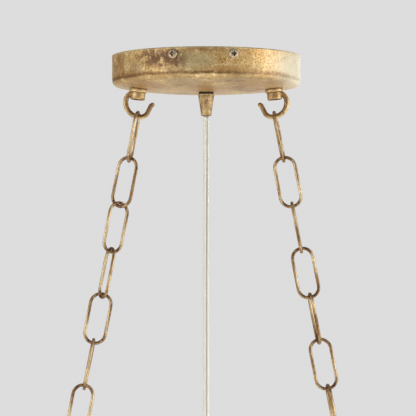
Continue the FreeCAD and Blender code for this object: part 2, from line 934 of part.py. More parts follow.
# Stack on the centre tube, from the cord bushing down to the finial.
bushing_top = bar_top + size["bushing_height"] + size["press_gap"]
keep(
    "cord_bushing",
    turned(
        "cord_bushing",
        (
            ("tube_radius + fit_gap", "0"),
            ("bushing_base_radius", "0"),
            ("bushing_base_radius", "bushing_rim"),
            ("bushing_top_radius + bushing_rim / 2", "bushing_height / 2"),
            ("bushing_top_radius", "bushing_height - bushing_rim"),
            ("bushing_top_radius", "bushing_height"),
            ("gland_mouth_radius", "bushing_height"),
            ("gland_mouth_radius", "bushing_height / 2 + fit_gap"),
            ("tube_radius + fit_gap", "bushing_height / 2 + fit_gap"),
        ),
        moved(z=bar_top + size["press_gap"]),
    ),
)
column_top = bar_top - size["bar_gauge"] - size["press_gap"]
keep(
    "column",
    turned(
        "column",
        (
            ("tube_radius + fit_gap", "0"),
            ("column_foot_radius", "0"),
            *((f"column_{step}_radius", f"-column_height * {share}") for step, share in COLUMN_STEP_SHARES),
            ("column_foot_radius", "-column_height"),
            ("tube_radius + fit_gap", "-column_height"),
        ),
        moved(z=column_top),
    ),
)
hub_top = column_top - size["column_height"] - size["press_gap"]
lamp_points = [
    Vector(
        size["oval_half_length"] * math.cos(math.radians(angle)),
        size["oval_half_width"] * math.sin(math.radians(angle)),
        0,
    )
    for angle in LAMP_ANGLES
]
arm_root_height = hub_top - size["hub_arm_drop"]
hub_blank = turned(
    "hub_blank",
    (
        ("tube_radius + fit_gap", "0"),
        ("hub_step_radius", "0"),
        ("hub_step_radius", "-hub_step_height"),
        ("hub_radius", "-hub_shoulder_height"),
        ("hub_radius", "-hub_height"),
        ("hub_radius - hub_wall", "-hub_height"),
        ("hub_radius - hub_wall", "-hub_shoulder_height - hub_wall"),
        ("hub_step_radius - hub_wall", "-hub_step_height - hub_wall"),
        ("tube_radius + fit_gap", "-hub_step_height - hub_wall"),
    ),
    moved(z=hub_top, turn=turned_about(UP, 90)),
)
hub_holes = []
for number, point in enumerate(lamp_points, start=1):
    hub_holes.append(
        primitive(
            "Cylinder",
            f"hub_hole_{number}",
            FreeCAD.Placement(Vector(0, 0, arm_root_height), FreeCAD.Rotation(UP, point)),
            Radius="arm_radius + fit_gap",
            Height="hub_radius + overrun",
        )
    )
keep("hub", cut("hub", hub_blank, fused("hub_hole_set", hub_holes)))
bowl_top = hub_top - size["hub_height"] - size["press_gap"]
keep(
    "hub_bowl",
    turned(
        "hub_bowl",
        (
            ("hub_radius - hub_wall - fit_gap - bowl_wall", "bowl_spigot"),
            ("hub_radius - hub_wall - fit_gap", "bowl_spigot"),
            ("hub_radius - hub_wall - fit_gap", "0"),
            ("hub_radius", "0"),
            ("hub_radius - bowl_wall", f"-bowl_height * {BOWL_SHOULDER_SHARE}"),
            ("hub_step_radius", f"-bowl_height * {BOWL_WAIST_SHARE}"),
            ("bowl_foot_radius", f"-bowl_height * {BOWL_FOOT_SHARE}"),
            ("bowl_foot_radius", "-bowl_height"),
            ("tube_radius + fit_gap", "-bowl_height"),
            ("tube_radius + fit_gap", "bowl_wall - bowl_height"),
            ("hub_step_radius - bowl_wall", f"bowl_wall - bowl_height * {BOWL_WAIST_SHARE}"),
            ("hub_radius - hub_wall - fit_gap - bowl_wall", f"-bowl_height * {BOWL_SHOULDER_SHARE} / 2"),
        ),
        moved(z=bowl_top),
    ),
)
finial_top = bowl_top - size["bowl_height"] - size["press_gap"]
finial_neck = primitive(
    "Cylinder",
    "finial_neck",
    moved(z=finial_top - size["finial_neck_height"]),
    Radius="finial_neck_radius + fit_gap",
    Height="finial_neck_height",
)
ball_centre = finial_top - size["finial_neck_height"] - size["finial_ball_radius"] + size["finial_sink"]
finial_ball = primitive("Sphere", "finial_ball", moved(z=ball_centre), Radius="finial_ball_radius")
tip_base = ball_centre - size["finial_ball_radius"] + size["finial_sink"]
finial_drop = primitive(
    "Cone",
    "finial_drop",
    moved(z=tip_base - size["finial_tip_height"]),
    Radius1="finial_point_radius",
    Radius2="finial_drop_radius",
    Height="finial_tip_height",
)
finial_bore = primitive(
    "Cylinder",
    "finial_bore",
    moved(z=ball_centre),
    Radius="tube_radius + press_gap",
    Height="finial_ball_radius + finial_neck_height + overrun",
)
keep("finial", cut("finial", fused("finial_blank", [finial_neck, finial_ball, finial_drop]), finial_bore))
tube_foot = ball_centre + size["fit_gap"]
tube_top = bar_top + size["bushing_height"] / 2
tube_outside = primitive("Cylinder", "tube_outside", moved(z=tube_foot), Radius="tube_radius")
tube_outside.Height = tube_top - tube_foot
tube_inside = primitive(
    "Cylinder", "tube_inside", moved(z=tube_foot - size["overrun"]), Radius="tube_bore_radius"
)
tube_inside.Height = tube_top - tube_foot + 2 * size["overrun"]
tube_window = primitive(
    "Box",
    "tube_window",
    moved(-size["tube_radius"] - size["overrun"], -size["tube_window"] / 2, bowl_top),
    Width="tube_window",
    Height="tube_window_height",
)
tube_window.Length = 2 * (size["tube_radius"] + size["overrun"])
keep("centre_tube", cut("centre_tube", tube_outside, fused("tube_hollow", [tube_inside, tube_window])))

# Free stretch of the cord: straight down from the gland's mouth into the bushing's mouth.
cord_foot = -bushing_top + size["cord_entry"]
keep("drop_cord", twin_cord("drop_cord", -cord_foot, cord_foot - cord_top))

# Arms: bent tubes that leave the hub level, dip below the oval and rise as posts under the lamps.
crest_radius = size["arm_crest_radius"]
sweep_radius = size["arm_sweep_radius"]
sweep_height = arm_root_height - size["arm_sweep_drop"]
arm_start = size["hub_radius"] - size["arm_inset"]
post_top = sweep_height + size["arm_post"]


def arm_path(reach):
    """An arm's centreline in the plane of its radius and its height."""
    crest = Vector(arm_start + size["arm_lead"], 0, arm_root_height - crest_radius)
    bend = Vector(reach - sweep_radius, 0, sweep_height)
    span = bend - crest
    fall = math.asin((crest_radius + sweep_radius) / span.Length) - math.atan2(span.z, span.x)
    normal = Vector(math.sin(fall), 0, math.cos(fall))
    half_fall = Vector(math.sin(fall / 2), 0, math.cos(fall / 2))
    half_rise = (math.pi / 2 + fall) / 2 - fall
    first = Vector(arm_start, 0, arm_root_height)
    crest_top = crest + UP * crest_radius
    leave = crest + normal * crest_radius
    meet = bend - normal * sweep_radius
    low = bend + Vector(math.sin(half_rise), 0, -math.cos(half_rise)) * sweep_radius
    rise = Vector(reach, 0, sweep_height)
    edges = [
        Part.LineSegment(first, crest_top).toShape(),
        Part.Arc(crest_top, crest + half_fall * crest_radius, leave).toShape(),
        Part.LineSegment(leave, meet).toShape(),
        Part.Arc(meet, low, rise).toShape(),
        Part.LineSegment(rise, Vector(reach, 0, post_top)).toShape(),
    ]
    return Part.Wire(edges), first


def bent_tube(path, start, radius):
    section = Part.Wire([Part.makeCircle(radius, start, ALONG)])
    return path.makePipeShell([section], True, False)


def oval_outward(point):
    """The level direction square to the oval at one of its points."""
    outward = Vector(point.x / size["oval_half_length"] ** 2, point.y / size["oval_half_width"] ** 2, 0)
    return outward.normalize()


band_middle = post_top - size["band_drop"] - size["pan_seat"]
for number, point in enumerate(lamp_points, start=1):
    path, start = arm_path(point.Length)
    tube = bent_tube(path, start, size["arm_radius"]).cut(bent_tube(path, start, size["arm_bore_radius"]))
    tube.rotate(Vector(), UP, math.degrees(math.atan2(point.y, point.x)))
    drilling = Part.makeCylinder(
        size["band_screw_radius"] + size["fit_gap"],
        size["arm_radius"] + size["overrun"],
        point + UP * band_middle,
        oval_outward(point),
    )
    arm = doc.addObject("Part::Feature", f"arm_{number}")
    arm.Shape = tube.cut(drilling)
    keep(f"arm_{number}", arm)

# Oval band: one flat strip rolled to an oval and screwed to the arm posts from outside.
band_foot = band_middle - size["band_height"] / 2


def oval_drum(name, growth, foot, height):
    """An upright drum on the oval, grown outward by a formula, its seam at the back between two lamps."""
    oval = Part.Ellipse(
        UP * foot, value_of(f"oval_half_length + {growth}"), value_of(f"oval_half_width + {growth}")
    )
    outline = doc.addObject("Part::Feature", f"{name}_outline")
    outline.Shape = oval.toShape(math.pi / 2, math.pi * 5 / 2)
    drum = doc.addObject("Part::Extrusion", name)
    drum.Base = outline
    drum.DirMode = "Custom"
    drum.Dir = UP
    drum.setExpression("LengthFwd", bound(height))
    drum.Solid = True
    return drum


def outer_face(point):
    """How far the band's outer face lies from a lamp's point, square to the oval."""
    growth = size["arm_radius"] + size["band_clearance"] + size["band_gauge"]
    long_square = (size["oval_half_length"] + growth) ** 2
    short_square = (size["oval_half_width"] + growth) ** 2
    outward = oval_outward(point)
    spread = outward.x**2 / long_square + outward.y**2 / short_square
    slope = point.x * outward.x / long_square + point.y * outward.y / short_square
    depth = point.x**2 / long_square + point.y**2 / short_square - 1
    return (math.sqrt(slope**2 - spread * depth) - slope) / spread


band_blank = cut(
    "band_blank",
    oval_drum("band_outside", "arm_radius + band_clearance + band_gauge", band_foot, "band_height"),
    oval_drum(
        "band_inside",
        "arm_radius + band_clearance",
        band_foot - size["overrun"],
        "band_height + 2 * overrun",
    ),
)
band_screw_places = [
    FreeCAD.Placement(
        point + oval_outward(point) * (outer_face(point) + size["slide_gap"]) + UP * band_middle,
        FreeCAD.Rotation(UP, oval_outward(point)),
    )
    for point in lamp_points
]
band_holes = [
    primitive(
        "Cylinder",
        f"band_hole_{number}",
        place.multiply(moved(z=-2 * size["overrun"])),
        Radius="band_screw_radius + fit_gap",
        Height="3 * overrun",
    )
    for number, place in enumerate(band_screw_places, start=1)
]
keep("oval_band", cut("oval_band", band_blank, fused("band_hole_set", band_holes)))
band_screw = turned(
    "band_screw",
    (
        ("0", "-band_screw_length"),
        ("band_screw_radius", "-band_screw_length"),
        ("band_screw_radius", "0"),
        ("band_head_radius", "0"),
        ("band_head_radius", "band_head_height / 2"),
        ("band_head_radius / 2", "band_head_height"),
        ("0", "band_head_height"),
    ),
)
group("band_screws", band_screw, band_screw_places)

# Candle lamps: a drip pan on each post, with a lampholder, a candle sleeve over it and a bulb.
pan_foot = post_top - size["pan_seat"]
pan_pattern = turned(
    "drip_pan",
    (
        ("arm_radius + fit_gap", "0"),
        ("pan_floor_radius", "0"),
        ("pan_radius - pan_rise / 2", "pan_rise / 2"),
        ("pan_radius", "pan_rise"),
        ("pan_radius - pan_gauge", "pan_rise + pan_gauge / 2"),
        ("pan_radius - pan_rise / 2 - pan_gauge", "pan_rise / 2 + pan_gauge"),
        ("pan_floor_radius - pan_gauge / 2", "pan_gauge"),
        ("arm_radius + fit_gap", "pan_gauge"),
    ),
)
holder_pattern = turned(
    "lampholder",
    (
        ("arm_radius + slide_gap", "0"),
        ("holder_radius", "0"),
        ("holder_radius", "holder_height"),
        ("holder_socket_radius", "holder_height"),
        ("holder_socket_radius", "holder_height - holder_socket_depth"),
        ("arm_bore_radius", "holder_height - holder_socket_depth"),
        ("arm_bore_radius", "pan_seat"),
        ("arm_radius + slide_gap", "pan_seat"),
    ),
)
sleeve_pattern = turned(
    "candle_sleeve",
    (
        ("sleeve_radius - sleeve_gauge", "0"),
        ("sleeve_radius", "0"),
        ("sleeve_radius", "sleeve_height - sleeve_gauge"),
        ("sleeve_radius - sleeve_gauge / 2", "sleeve_height"),
        ("sleeve_radius - sleeve_gauge", "sleeve_height"),
    ),
)
bulb_foot = size["holder_height"] - size["bulb_base_length"]
bulb_middle = size["sleeve_height"] + BULB_RISE_SHARE * size["bulb_half_height"]
bulb_base = primitive(
    "Cylinder", "bulb_base", moved(z=bulb_foot), Radius="bulb_base_radius", Height="bulb_base_length"
)
bulb_neck = primitive(
    "Cone",
    "bulb_neck",
    moved(z=size["holder_height"]),
    Radius1="bulb_base_radius",
    Radius2="bulb_neck_radius",
    Height="bulb_neck_length",
)
bulb_glass = primitive(
    "Ellipsoid",
    "bulb_glass",
    moved(z=bulb_middle),
    Radius1="bulb_half_height",
    Radius2="bulb_radius",
    Radius3="bulb_radius",
)
bulb_pattern = fused("bulb", [bulb_base, bulb_neck, bulb_glass])
seat_height = pan_foot + size["pan_gauge"] + size["press_gap"]
pan_places = [FreeCAD.Placement(point + UP * pan_foot, FreeCAD.Rotation()) for point in lamp_points]
lamp_places = [FreeCAD.Placement(point + UP * seat_height, FreeCAD.Rotation()) for point in lamp_points]
group("drip_pans", pan_pattern, pan_places)
group("lampholders", holder_pattern, lamp_places)
group("candle_sleeves", sleeve_pattern, lamp_places)
group("bulbs", bulb_pattern, lamp_places)

doc.recompute()
for item in doc.Objects:
    if "Invalid" in item.State or "Error" in item.State:
        raise RuntimeError(f"{item.Label} was not built: {item.State}")
os.makedirs("parts", exist_ok=True)
for name, item in nodes.items():
    if item.Shape.isNull() or not item.Shape.isValid():
        raise RuntimeError(f"{name} has no valid shape")
for name, item in nodes.items():
    item.Shape.exportStep(f"parts/{name}.step")
print(len(nodes), "nodes,", sum(len(item.Shape.Solids) for item in nodes.values()), "solids")
print("hook swing axis height", round(chain_line(1, size["hook_radius"]).z, 3))
for side in (-1, 1):
    top_pivot = chain_line(side, first_apex + link_height)
    foot_pivot = chain_line(side, last_apex)
    print("chain pivots", [round(value, 3) for value in (top_pivot.x, top_pivot.z, foot_pivot.x, foot_pivot.z)])
print("cord from", round(-cord_top, 3), "to", round(-cord_foot, 3))
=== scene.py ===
import math

import bmesh
import bpy
from mathutils import Matrix, Vector, noise


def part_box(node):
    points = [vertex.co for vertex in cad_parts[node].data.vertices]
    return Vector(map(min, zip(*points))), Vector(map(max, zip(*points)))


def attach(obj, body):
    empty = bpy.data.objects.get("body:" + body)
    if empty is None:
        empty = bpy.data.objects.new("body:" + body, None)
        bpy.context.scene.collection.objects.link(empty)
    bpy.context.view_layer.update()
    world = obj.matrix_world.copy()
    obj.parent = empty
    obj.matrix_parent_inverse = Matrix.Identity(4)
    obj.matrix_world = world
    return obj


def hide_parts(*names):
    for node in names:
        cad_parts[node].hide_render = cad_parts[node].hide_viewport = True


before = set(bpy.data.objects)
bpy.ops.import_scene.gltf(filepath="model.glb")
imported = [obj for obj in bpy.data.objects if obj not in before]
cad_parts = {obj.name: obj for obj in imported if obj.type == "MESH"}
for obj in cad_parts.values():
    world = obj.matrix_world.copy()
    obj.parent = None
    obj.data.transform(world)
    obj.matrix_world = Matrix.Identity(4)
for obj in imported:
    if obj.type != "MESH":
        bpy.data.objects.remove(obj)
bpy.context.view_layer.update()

# Camera: a long lens three metres in front of the canopy and a little below the ceiling, so that the canopy's
# underside shows as a thin lens shape and the view ends part of the way down the chains.
CAMERA_DISTANCE = 3.0
CAMERA_RISE = 3.5
CAMERA_AIM = Vector((0.0016, 0, -0.137))
PHOTO_WIDTH = 0.3744
SENSOR_WIDTH = 36
CAMERA_REACH = 20
camera_data = bpy.data.cameras.new("camera")
camera_data.sensor_width = SENSOR_WIDTH
camera_data.lens = SENSOR_WIDTH * CAMERA_DISTANCE / PHOTO_WIDTH
camera_data.clip_end = CAMERA_REACH
camera = bpy.data.objects.new("camera", camera_data)
bpy.context.scene.collection.objects.link(camera)
view_direction = Vector((0, math.cos(math.radians(CAMERA_RISE)), math.sin(math.radians(CAMERA_RISE))))
camera.location = CAMERA_AIM - view_direction * CAMERA_DISTANCE
camera.rotation_euler = view_direction.to_track_quat("-Z", "Y").to_euler()
bpy.context.scene.camera = camera
bpy.context.scene.view_settings.view_transform = "Standard"

# Studio: a pale floor far below the object, a pale world for the backdrop, one large soft lamp on the right
# where the photo's light comes from, a wider one on the left, and weaker ones below and behind.
FLOOR_DROP = 2.2
FLOOR_REACH = 6
FLOOR_GLOW = 0.42
BACKDROP_LIGHT = 0.72
WORLD_LIGHT = 0.25
SURFACE_GLOSS = 0.35
LAMP_AIM = Vector((0, 0, -0.2))


def plain_material(name, color, roughness, metallic=0.0):
    """A material with one colour, whose shader is returned for more settings."""
    material = bpy.data.materials.new(name)
    material.use_nodes = True
    shader = material.node_tree.nodes["Principled BSDF"]
    shader.inputs["Base Color"].default_value = (*color, 1)
    shader.inputs["Roughness"].default_value = roughness
    shader.inputs["Metallic"].default_value = metallic
    shader.inputs["Specular IOR Level"].default_value = SURFACE_GLOSS
    return material, shader


def place_mesh(bm, name, materials):
    """A new object at the origin that holds the mesh, shaded smooth."""
    mesh = bpy.data.meshes.new(name)
    bm.to_mesh(mesh)
    bm.free()
    for material in materials:
        mesh.materials.append(material)
    for polygon in mesh.polygons:
        polygon.use_smooth = True
    piece = bpy.data.objects.new(name, mesh)
    bpy.context.scene.collection.objects.link(piece)
    return piece


floor_bm = bmesh.new()
bmesh.ops.create_grid(floor_bm, x_segments=1, y_segments=1, size=FLOOR_REACH)
bmesh.ops.translate(floor_bm, verts=floor_bm.verts, vec=(0, 0, -FLOOR_DROP))
floor_paint, floor_shader = plain_material("floor_paint", (0.7, 0.7, 0.69), 0.9)
floor_shader.inputs["Emission Color"].default_value = (1, 0.99, 0.97, 1)
floor_shader.inputs["Emission Strength"].default_value = FLOOR_GLOW
floor = place_mesh(floor_bm, "floor", [floor_paint])

world = bpy.data.worlds.new("studio")
bpy.context.scene.world = world
world.use_nodes = True
world_nodes = world.node_tree.nodes
world_links = world.node_tree.links
backdrop = world_nodes.new("ShaderNodeBackground")
backdrop.inputs["Color"].default_value = (1, 1, 1, 1)
backdrop.inputs["Strength"].default_value = BACKDROP_LIGHT
world_nodes["Background"].inputs["Color"].default_value = (1, 0.985, 0.96, 1)
world_nodes["Background"].inputs["Strength"].default_value = WORLD_LIGHT
rays = world_nodes.new("ShaderNodeLightPath")
seen = world_nodes.new("ShaderNodeMath")
seen.operation = "MAXIMUM"
world_links.new(rays.outputs["Is Camera Ray"], seen.inputs[0])
world_links.new(rays.outputs["Is Transmission Ray"], seen.inputs[1])
choice = world_nodes.new("ShaderNodeMixShader")
world_links.new(seen.outputs[0], choice.inputs[0])
world_links.new(world_nodes["Background"].outputs[0], choice.inputs[1])
world_links.new(backdrop.outputs[0], choice.inputs[2])
world_links.new(choice.outputs[0], world_nodes["World Output"].inputs[0])

# Each lamp: its place, its size, its power and its colour.
LAMPS = {
    "window_lamp": ((2.1, -0.55, -0.15), 1.3, 32, (1.0, 0.97, 0.92)),
    "fill_lamp": ((-2.0, -1.3, -0.1), 1.6, 32, (1.0, 0.96, 0.9)),
    "low_lamp": ((0.1, -0.6, -0.85), 0.6, 2.6, (1.0, 0.97, 0.93)),
    "rear_lamp": ((0.4, 2.2, 0.3), 1.8, 16, (1.0, 0.97, 0.93)),
}
for lamp_name, (lamp_at, lamp_size, lamp_power, lamp_color) in LAMPS.items():
    lamp_data = bpy.data.lights.new(lamp_name, "AREA")
    lamp_data.size = lamp_size
    lamp_data.energy = lamp_power
    lamp_data.color = lamp_color
    lamp = bpy.data.objects.new(lamp_name, lamp_data)
    lamp.location = lamp_at
    lamp.visible_camera = False
    lamp.visible_transmission = False
    lamp.rotation_euler = (LAMP_AIM - Vector(lamp_at)).to_track_quat("-Z", "Y").to_euler()
    bpy.context.scene.collection.objects.link(lamp)

# Free cord: a flat twin cord, two tinned strands in one clear jacket, straight down from the gland into the
# lamp frame's bushing. It turns gently about itself, a part turn at the gland and nearly flat lower down.
CORD_TWIST = (40, 6)
CORD_TURNED_BY = 0.16
CORD_ROUTE = ((0, 0, -0.0539), (0, 0, -0.086), (0, 0, -0.4315), (0, 0, -0.4635))
CORD_SECTION_STEPS = 10
CORD_LINE_STEPS = 30
cord_low, cord_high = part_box("drop_cord")
cord_strand = (cord_high.y - cord_low.y) / 2
cord_spread = (cord_high.x - cord_low.x) / 2 - cord_strand
cord_route = [Vector(point) for point in CORD_ROUTE]


def route_line(name, points):
    """Points along the smooth line that a route's points control."""
    curve = bpy.data.curves.new(name, "CURVE")
    curve.dimensions = "3D"
    curve.resolution_u = CORD_LINE_STEPS
    spline = curve.splines.new("NURBS")
    spline.points.add(len(points) - 1)
    for control, point in zip(spline.points, points):
        control.co = (*point, 1)
    spline.order_u = 3
    spline.use_endpoint_u = True
    carrier = bpy.data.objects.new(name, curve)
    line = bpy.data.meshes.new_from_object(carrier)
    along = [vert.co.copy() for vert in line.vertices]
    bpy.data.objects.remove(carrier)
    bpy.data.meshes.remove(line)
    return along


def cord_twist(depth):
    """How far the flat cord has turned about itself at a depth below the gland."""
    share = min(1, depth / CORD_TURNED_BY)
    eased = share * share * (3 - 2 * share)
    return math.radians(CORD_TWIST[0] + (CORD_TWIST[1] - CORD_TWIST[0]) * eased)


def node_tools(tree):
    """Short ways to add the nodes that the finishes share."""
    nodes = tree.nodes
    links = tree.links

    def sent(value, socket):
        if isinstance(value, bpy.types.NodeSocket):
            links.new(value, socket)
        else:
            socket.default_value = value

    def spread(value, low, high, low_to=0.0, high_to=1.0):
        node = nodes.new("ShaderNodeMapRange")
        for name, limit in (("From Min", low), ("From Max", high), ("To Min", low_to), ("To Max", high_to)):
            node.inputs[name].default_value = limit
        sent(value, node.inputs["Value"])
        return node.outputs["Result"]

    def sums(operation, first, second):
        node = nodes.new("ShaderNodeMath")
        node.operation = operation
        node.use_clamp = True
        sent(first, node.inputs[0])
        sent(second, node.inputs[1])
        return node.outputs[0]

    def blend(amount, first, second):
        node = nodes.new("ShaderNodeMix")
        node.data_type = "RGBA"
        sent(amount, node.inputs["Factor"])
        sent(first, node.inputs["A"])
        sent(second, node.inputs["B"])
        return node.outputs["Result"]

    def grain(vector, scale, detail, roughness=0.6, distortion=0.0):
        node = nodes.new("ShaderNodeTexNoise")
        sent(vector, node.inputs["Vector"])
        sent(scale, node.inputs["Scale"])
        node.inputs["Detail"].default_value = detail
        node.inputs["Roughness"].default_value = roughness
        node.inputs["Distortion"].default_value = distortion
        return node.outputs["Fac"]

    return spread, sums, blend, grain


def relief(material, height, strength, depth):
    """A pattern of heights becomes the material's surface relief."""
    tree = material.node_tree
    bump = tree.nodes.new("ShaderNodeBump")
    bump.inputs["Strength"].default_value = strength
    bump.inputs["Distance"].default_value = depth
    tree.links.new(height, bump.inputs["Height"])
    tree.links.new(bump.outputs["Normal"], tree.nodes["Principled BSDF"].inputs["Normal"])


def tinned_cord_material():
    """Tinned strands under clear plastic: fine slanting strands, a shaded groove and a clear gloss."""
    material, shader = plain_material("clear_twin_cord", (0.62, 0.61, 0.55), 0.36, 0.25)
    nodes = material.node_tree.nodes
    links = material.node_tree.links
    blend = node_tools(material.node_tree)[2]
    along = nodes.new("ShaderNodeUVMap")
    along.uv_map = "cord"
    slant = nodes.new("ShaderNodeTexWave")
    slant.wave_type = "BANDS"
    slant.bands_direction = "DIAGONAL"
    slant.inputs["Scale"].default_value = 1.0
    slant.inputs["Distortion"].default_value = 0.6
    slant.inputs["Detail"].default_value = 1
    stretch = nodes.new("ShaderNodeMapping")
    stretch.inputs["Scale"].default_value = (9, 150, 1)
    links.new(along.outputs["UV"], stretch.inputs["Vector"])
    links.new(stretch.outputs["Vector"], slant.inputs["Vector"])
    groove = nodes.new("ShaderNodeAttribute")
    groove.attribute_name = "groove"
    strand_color = blend(slant.outputs["Fac"], (0.46, 0.45, 0.39, 1), (0.92, 0.91, 0.85, 1))
    links.new(blend(groove.outputs["Fac"], strand_color, (0.42, 0.41, 0.35, 1)), shader.inputs["Base Color"])
    relief(material, slant.outputs["Fac"], 0.35, 0.0002)
    shader.inputs["Coat Weight"].default_value = 0.8
    shader.inputs["Coat Roughness"].default_value = 0.08
    shader.inputs["Coat IOR"].default_value = 1.45
    return material


def near(value, middle, reach):
    """How near a value is to a middle one: 1 at it, falling to 0 at its reach."""
    return max(0, 1 - abs(value - middle) / reach)


def new_ring(made):
    """The vertices and the ring of edges that an extrusion of edges has just made."""
    ring = [item for item in made if isinstance(item, bmesh.types.BMVert)]
    edges = [item for item in made if isinstance(item, bmesh.types.BMEdge)]
    return ring, [edge for edge in edges if all(vert in ring for vert in edge.verts)]


def dress(bm, name, finishes, node, body):
    """The finished mesh stands in for a CAD node and rides with its body."""
    piece = place_mesh(bm, name, finishes)
    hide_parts(node)
    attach(piece, body)
    return piece


cord_bm = bmesh.new()
cord_uv = cord_bm.loops.layers.uv.new("cord")
cord_groove = cord_bm.verts.layers.float.new("groove")
half_sweep = math.pi - math.acos(cord_spread / cord_strand)
section = []
for lobe in (1, -1):
    facing = 0 if lobe > 0 else math.pi
    for step in range(CORD_SECTION_STEPS):
        angle = facing + half_sweep * (2 * step / CORD_SECTION_STEPS - 1)
        point = (lobe * cord_spread + cord_strand * math.cos(angle), cord_strand * math.sin(angle), 0)
        section.append(cord_bm.verts.new(point))
loop_edges = [cord_bm.edges.new((section[i - 1], section[i])) for i in range(len(section))]
cord_line = route_line("cord_route", cord_route)
rings = [section]
for point in cord_line[1:]:
    ring, loop_edges = new_ring(bmesh.ops.extrude_edge_only(cord_bm, edges=loop_edges)["geom"])
    rings.append(ring)
for vert in cord_bm.verts:
    vert[cord_groove] = near(vert.co.x, 0, cord_spread / 2) ** 0.5
for ring, point in zip(rings, cord_line):
    bmesh.ops.translate(cord_bm, verts=ring, vec=point)
bmesh.ops.holes_fill(cord_bm, edges=cord_bm.edges, sides=0)
bmesh.ops.recalc_face_normals(cord_bm, faces=cord_bm.faces)
for face in cord_bm.faces:
    for loop in face.loops:
        loop[cord_uv].uv = (math.atan2(loop.vert.co.y, abs(loop.vert.co.x)) / math.pi, -loop.vert.co.z)
for vert in cord_bm.verts:
    vert.co = Matrix.Rotation(cord_twist(cord_route[0].z - vert.co.z), 3, "Z") @ vert.co
free_cord = dress(cord_bm, "free_cord", [tinned_cord_material()], "drop_cord", "hanging_cord")

# Canopy: a spun steel pan, hammered slightly uneven along its crease, leafed in antique gold and rubbed back
# so that umber shows in patches. It's open at the ceiling and screwed through its band.
CANOPY_GAUGE = 0.0012
CEILING_CLEAR = 0.00002
SHOULDER_ROUND = 0.005
CREASE_HEIGHT = -0.0239
CREASE_DEPTH = 0.00035
CREASE_REACH = 0.0021
CANOPY_BAND = 0.0265
CANOPY_SIDES = 256
CANOPY_BAND_STEPS = 20
DOME_STEPS = 60
CREASE_WAVER = 0.00077
CREASE_FINENESS = (3.1, 9)
CREASE_RAGGED = 22
DOME_WAVER = 0.00016
DOME_FINENESS = (38, 95)
RIM_WEAR = 0.0018
RIM_TRUE = 0.004
GLAND_HOLE = 0.0052
LEAF = (0.58, 0.36, 0.125)
PALE_LEAF = (0.9, 0.73, 0.4)
UMBER = (0.15, 0.08, 0.033)
GREEN_GREY = (0.38, 0.34, 0.2)
RUST = (0.34, 0.14, 0.045)


def new_group(name, inputs, outputs):
    """An empty shared group with these sockets, and its two end nodes."""
    group = bpy.data.node_groups.new(name, "ShaderNodeTree")
    for way, sockets in (("INPUT", inputs), ("OUTPUT", outputs)):
        for socket, kind in sockets:
            group.interface.new_socket(name=socket, in_out=way, socket_type=f"NodeSocket{kind}")
    return group, group.nodes.new("NodeGroupInput").outputs, group.nodes.new("NodeGroupOutput").inputs


def leaf_group():
    """Antique leaf: gold with pale flecks, a tint, umber where it's rubbed, and brushed streaks along X."""
    inputs = [("Vector", "Vector")]
    inputs += [(name, "Color") for name in ("Leaf", "Pale", "Under", "Tint")]
    inputs += [(name, "Float") for name in ("Patch Scale", "Rubbed", "Tinted", "Streaked")]
    outputs = [("Color", "Color"), ("Roughness", "Float"), ("Height", "Float")]
    group, given, result = new_group("antique_leaf", inputs, outputs)
    spread, sums, blend, grain = node_tools(group)
    links = group.links
    vector = given["Vector"]

    def scaled(share):
        node = group.nodes.new("ShaderNodeMath")
        node.operation = "MULTIPLY"
        node.inputs[1].default_value = share
        links.new(given["Patch Scale"], node.inputs[0])
        return node.outputs[0]

    combed = group.nodes.new("ShaderNodeMapping")
    combed.inputs["Scale"].default_value = (1, 11, 11)
    links.new(vector, combed.inputs["Vector"])
    cloud = grain(vector, scaled(1.0), 3, 0.55, 0.4)
    mottle = grain(vector, scaled(4.5), 5, 0.62, 0.3)
    flecks = grain(vector, scaled(30.0), 3, 0.7)
    wisps = grain(vector, scaled(2.1), 6, 0.7, 1.1)
    brushed = grain(combed.outputs["Vector"], scaled(3.2), 4, 0.65, 0.2)
    pale = sums("MULTIPLY", spread(mottle, 0.4, 0.62), spread(flecks, 0.44, 0.57))
    color = blend(pale, given["Leaf"], given["Pale"])
    color = blend(sums("MULTIPLY", spread(wisps, 0.5, 0.66), given["Tinted"]), color, given["Tint"])
    streaks = sums("MULTIPLY", spread(brushed, 0.5, 0.68), given["Streaked"])
    color = blend(streaks, color, given["Under"])
    glints = sums("MULTIPLY", spread(brushed, 0.44, 0.3), given["Streaked"])
    color = blend(sums("MULTIPLY", glints, 0.6), color, given["Pale"])
    patch = sums("MULTIPLY", spread(cloud, 0.5, 0.66), spread(mottle, 0.38, 0.56))
    speck = sums("MULTIPLY", spread(flecks, 0.5, 0.4), spread(mottle, 0.66, 0.42))
    rubbed = sums("MULTIPLY", sums("MAXIMUM", patch, speck), given["Rubbed"])
    color = blend(rubbed, color, given["Under"])
    links.new(color, result["Color"])
    links.new(spread(mottle, 0.3, 0.7, 0.34, 0.58), result["Roughness"])
    height = sums("ADD", spread(mottle, 0.2, 0.8, 0.0, 0.5), spread(flecks, 0.2, 0.8, 0.0, 0.5))
    links.new(height, result["Height"])
    return group


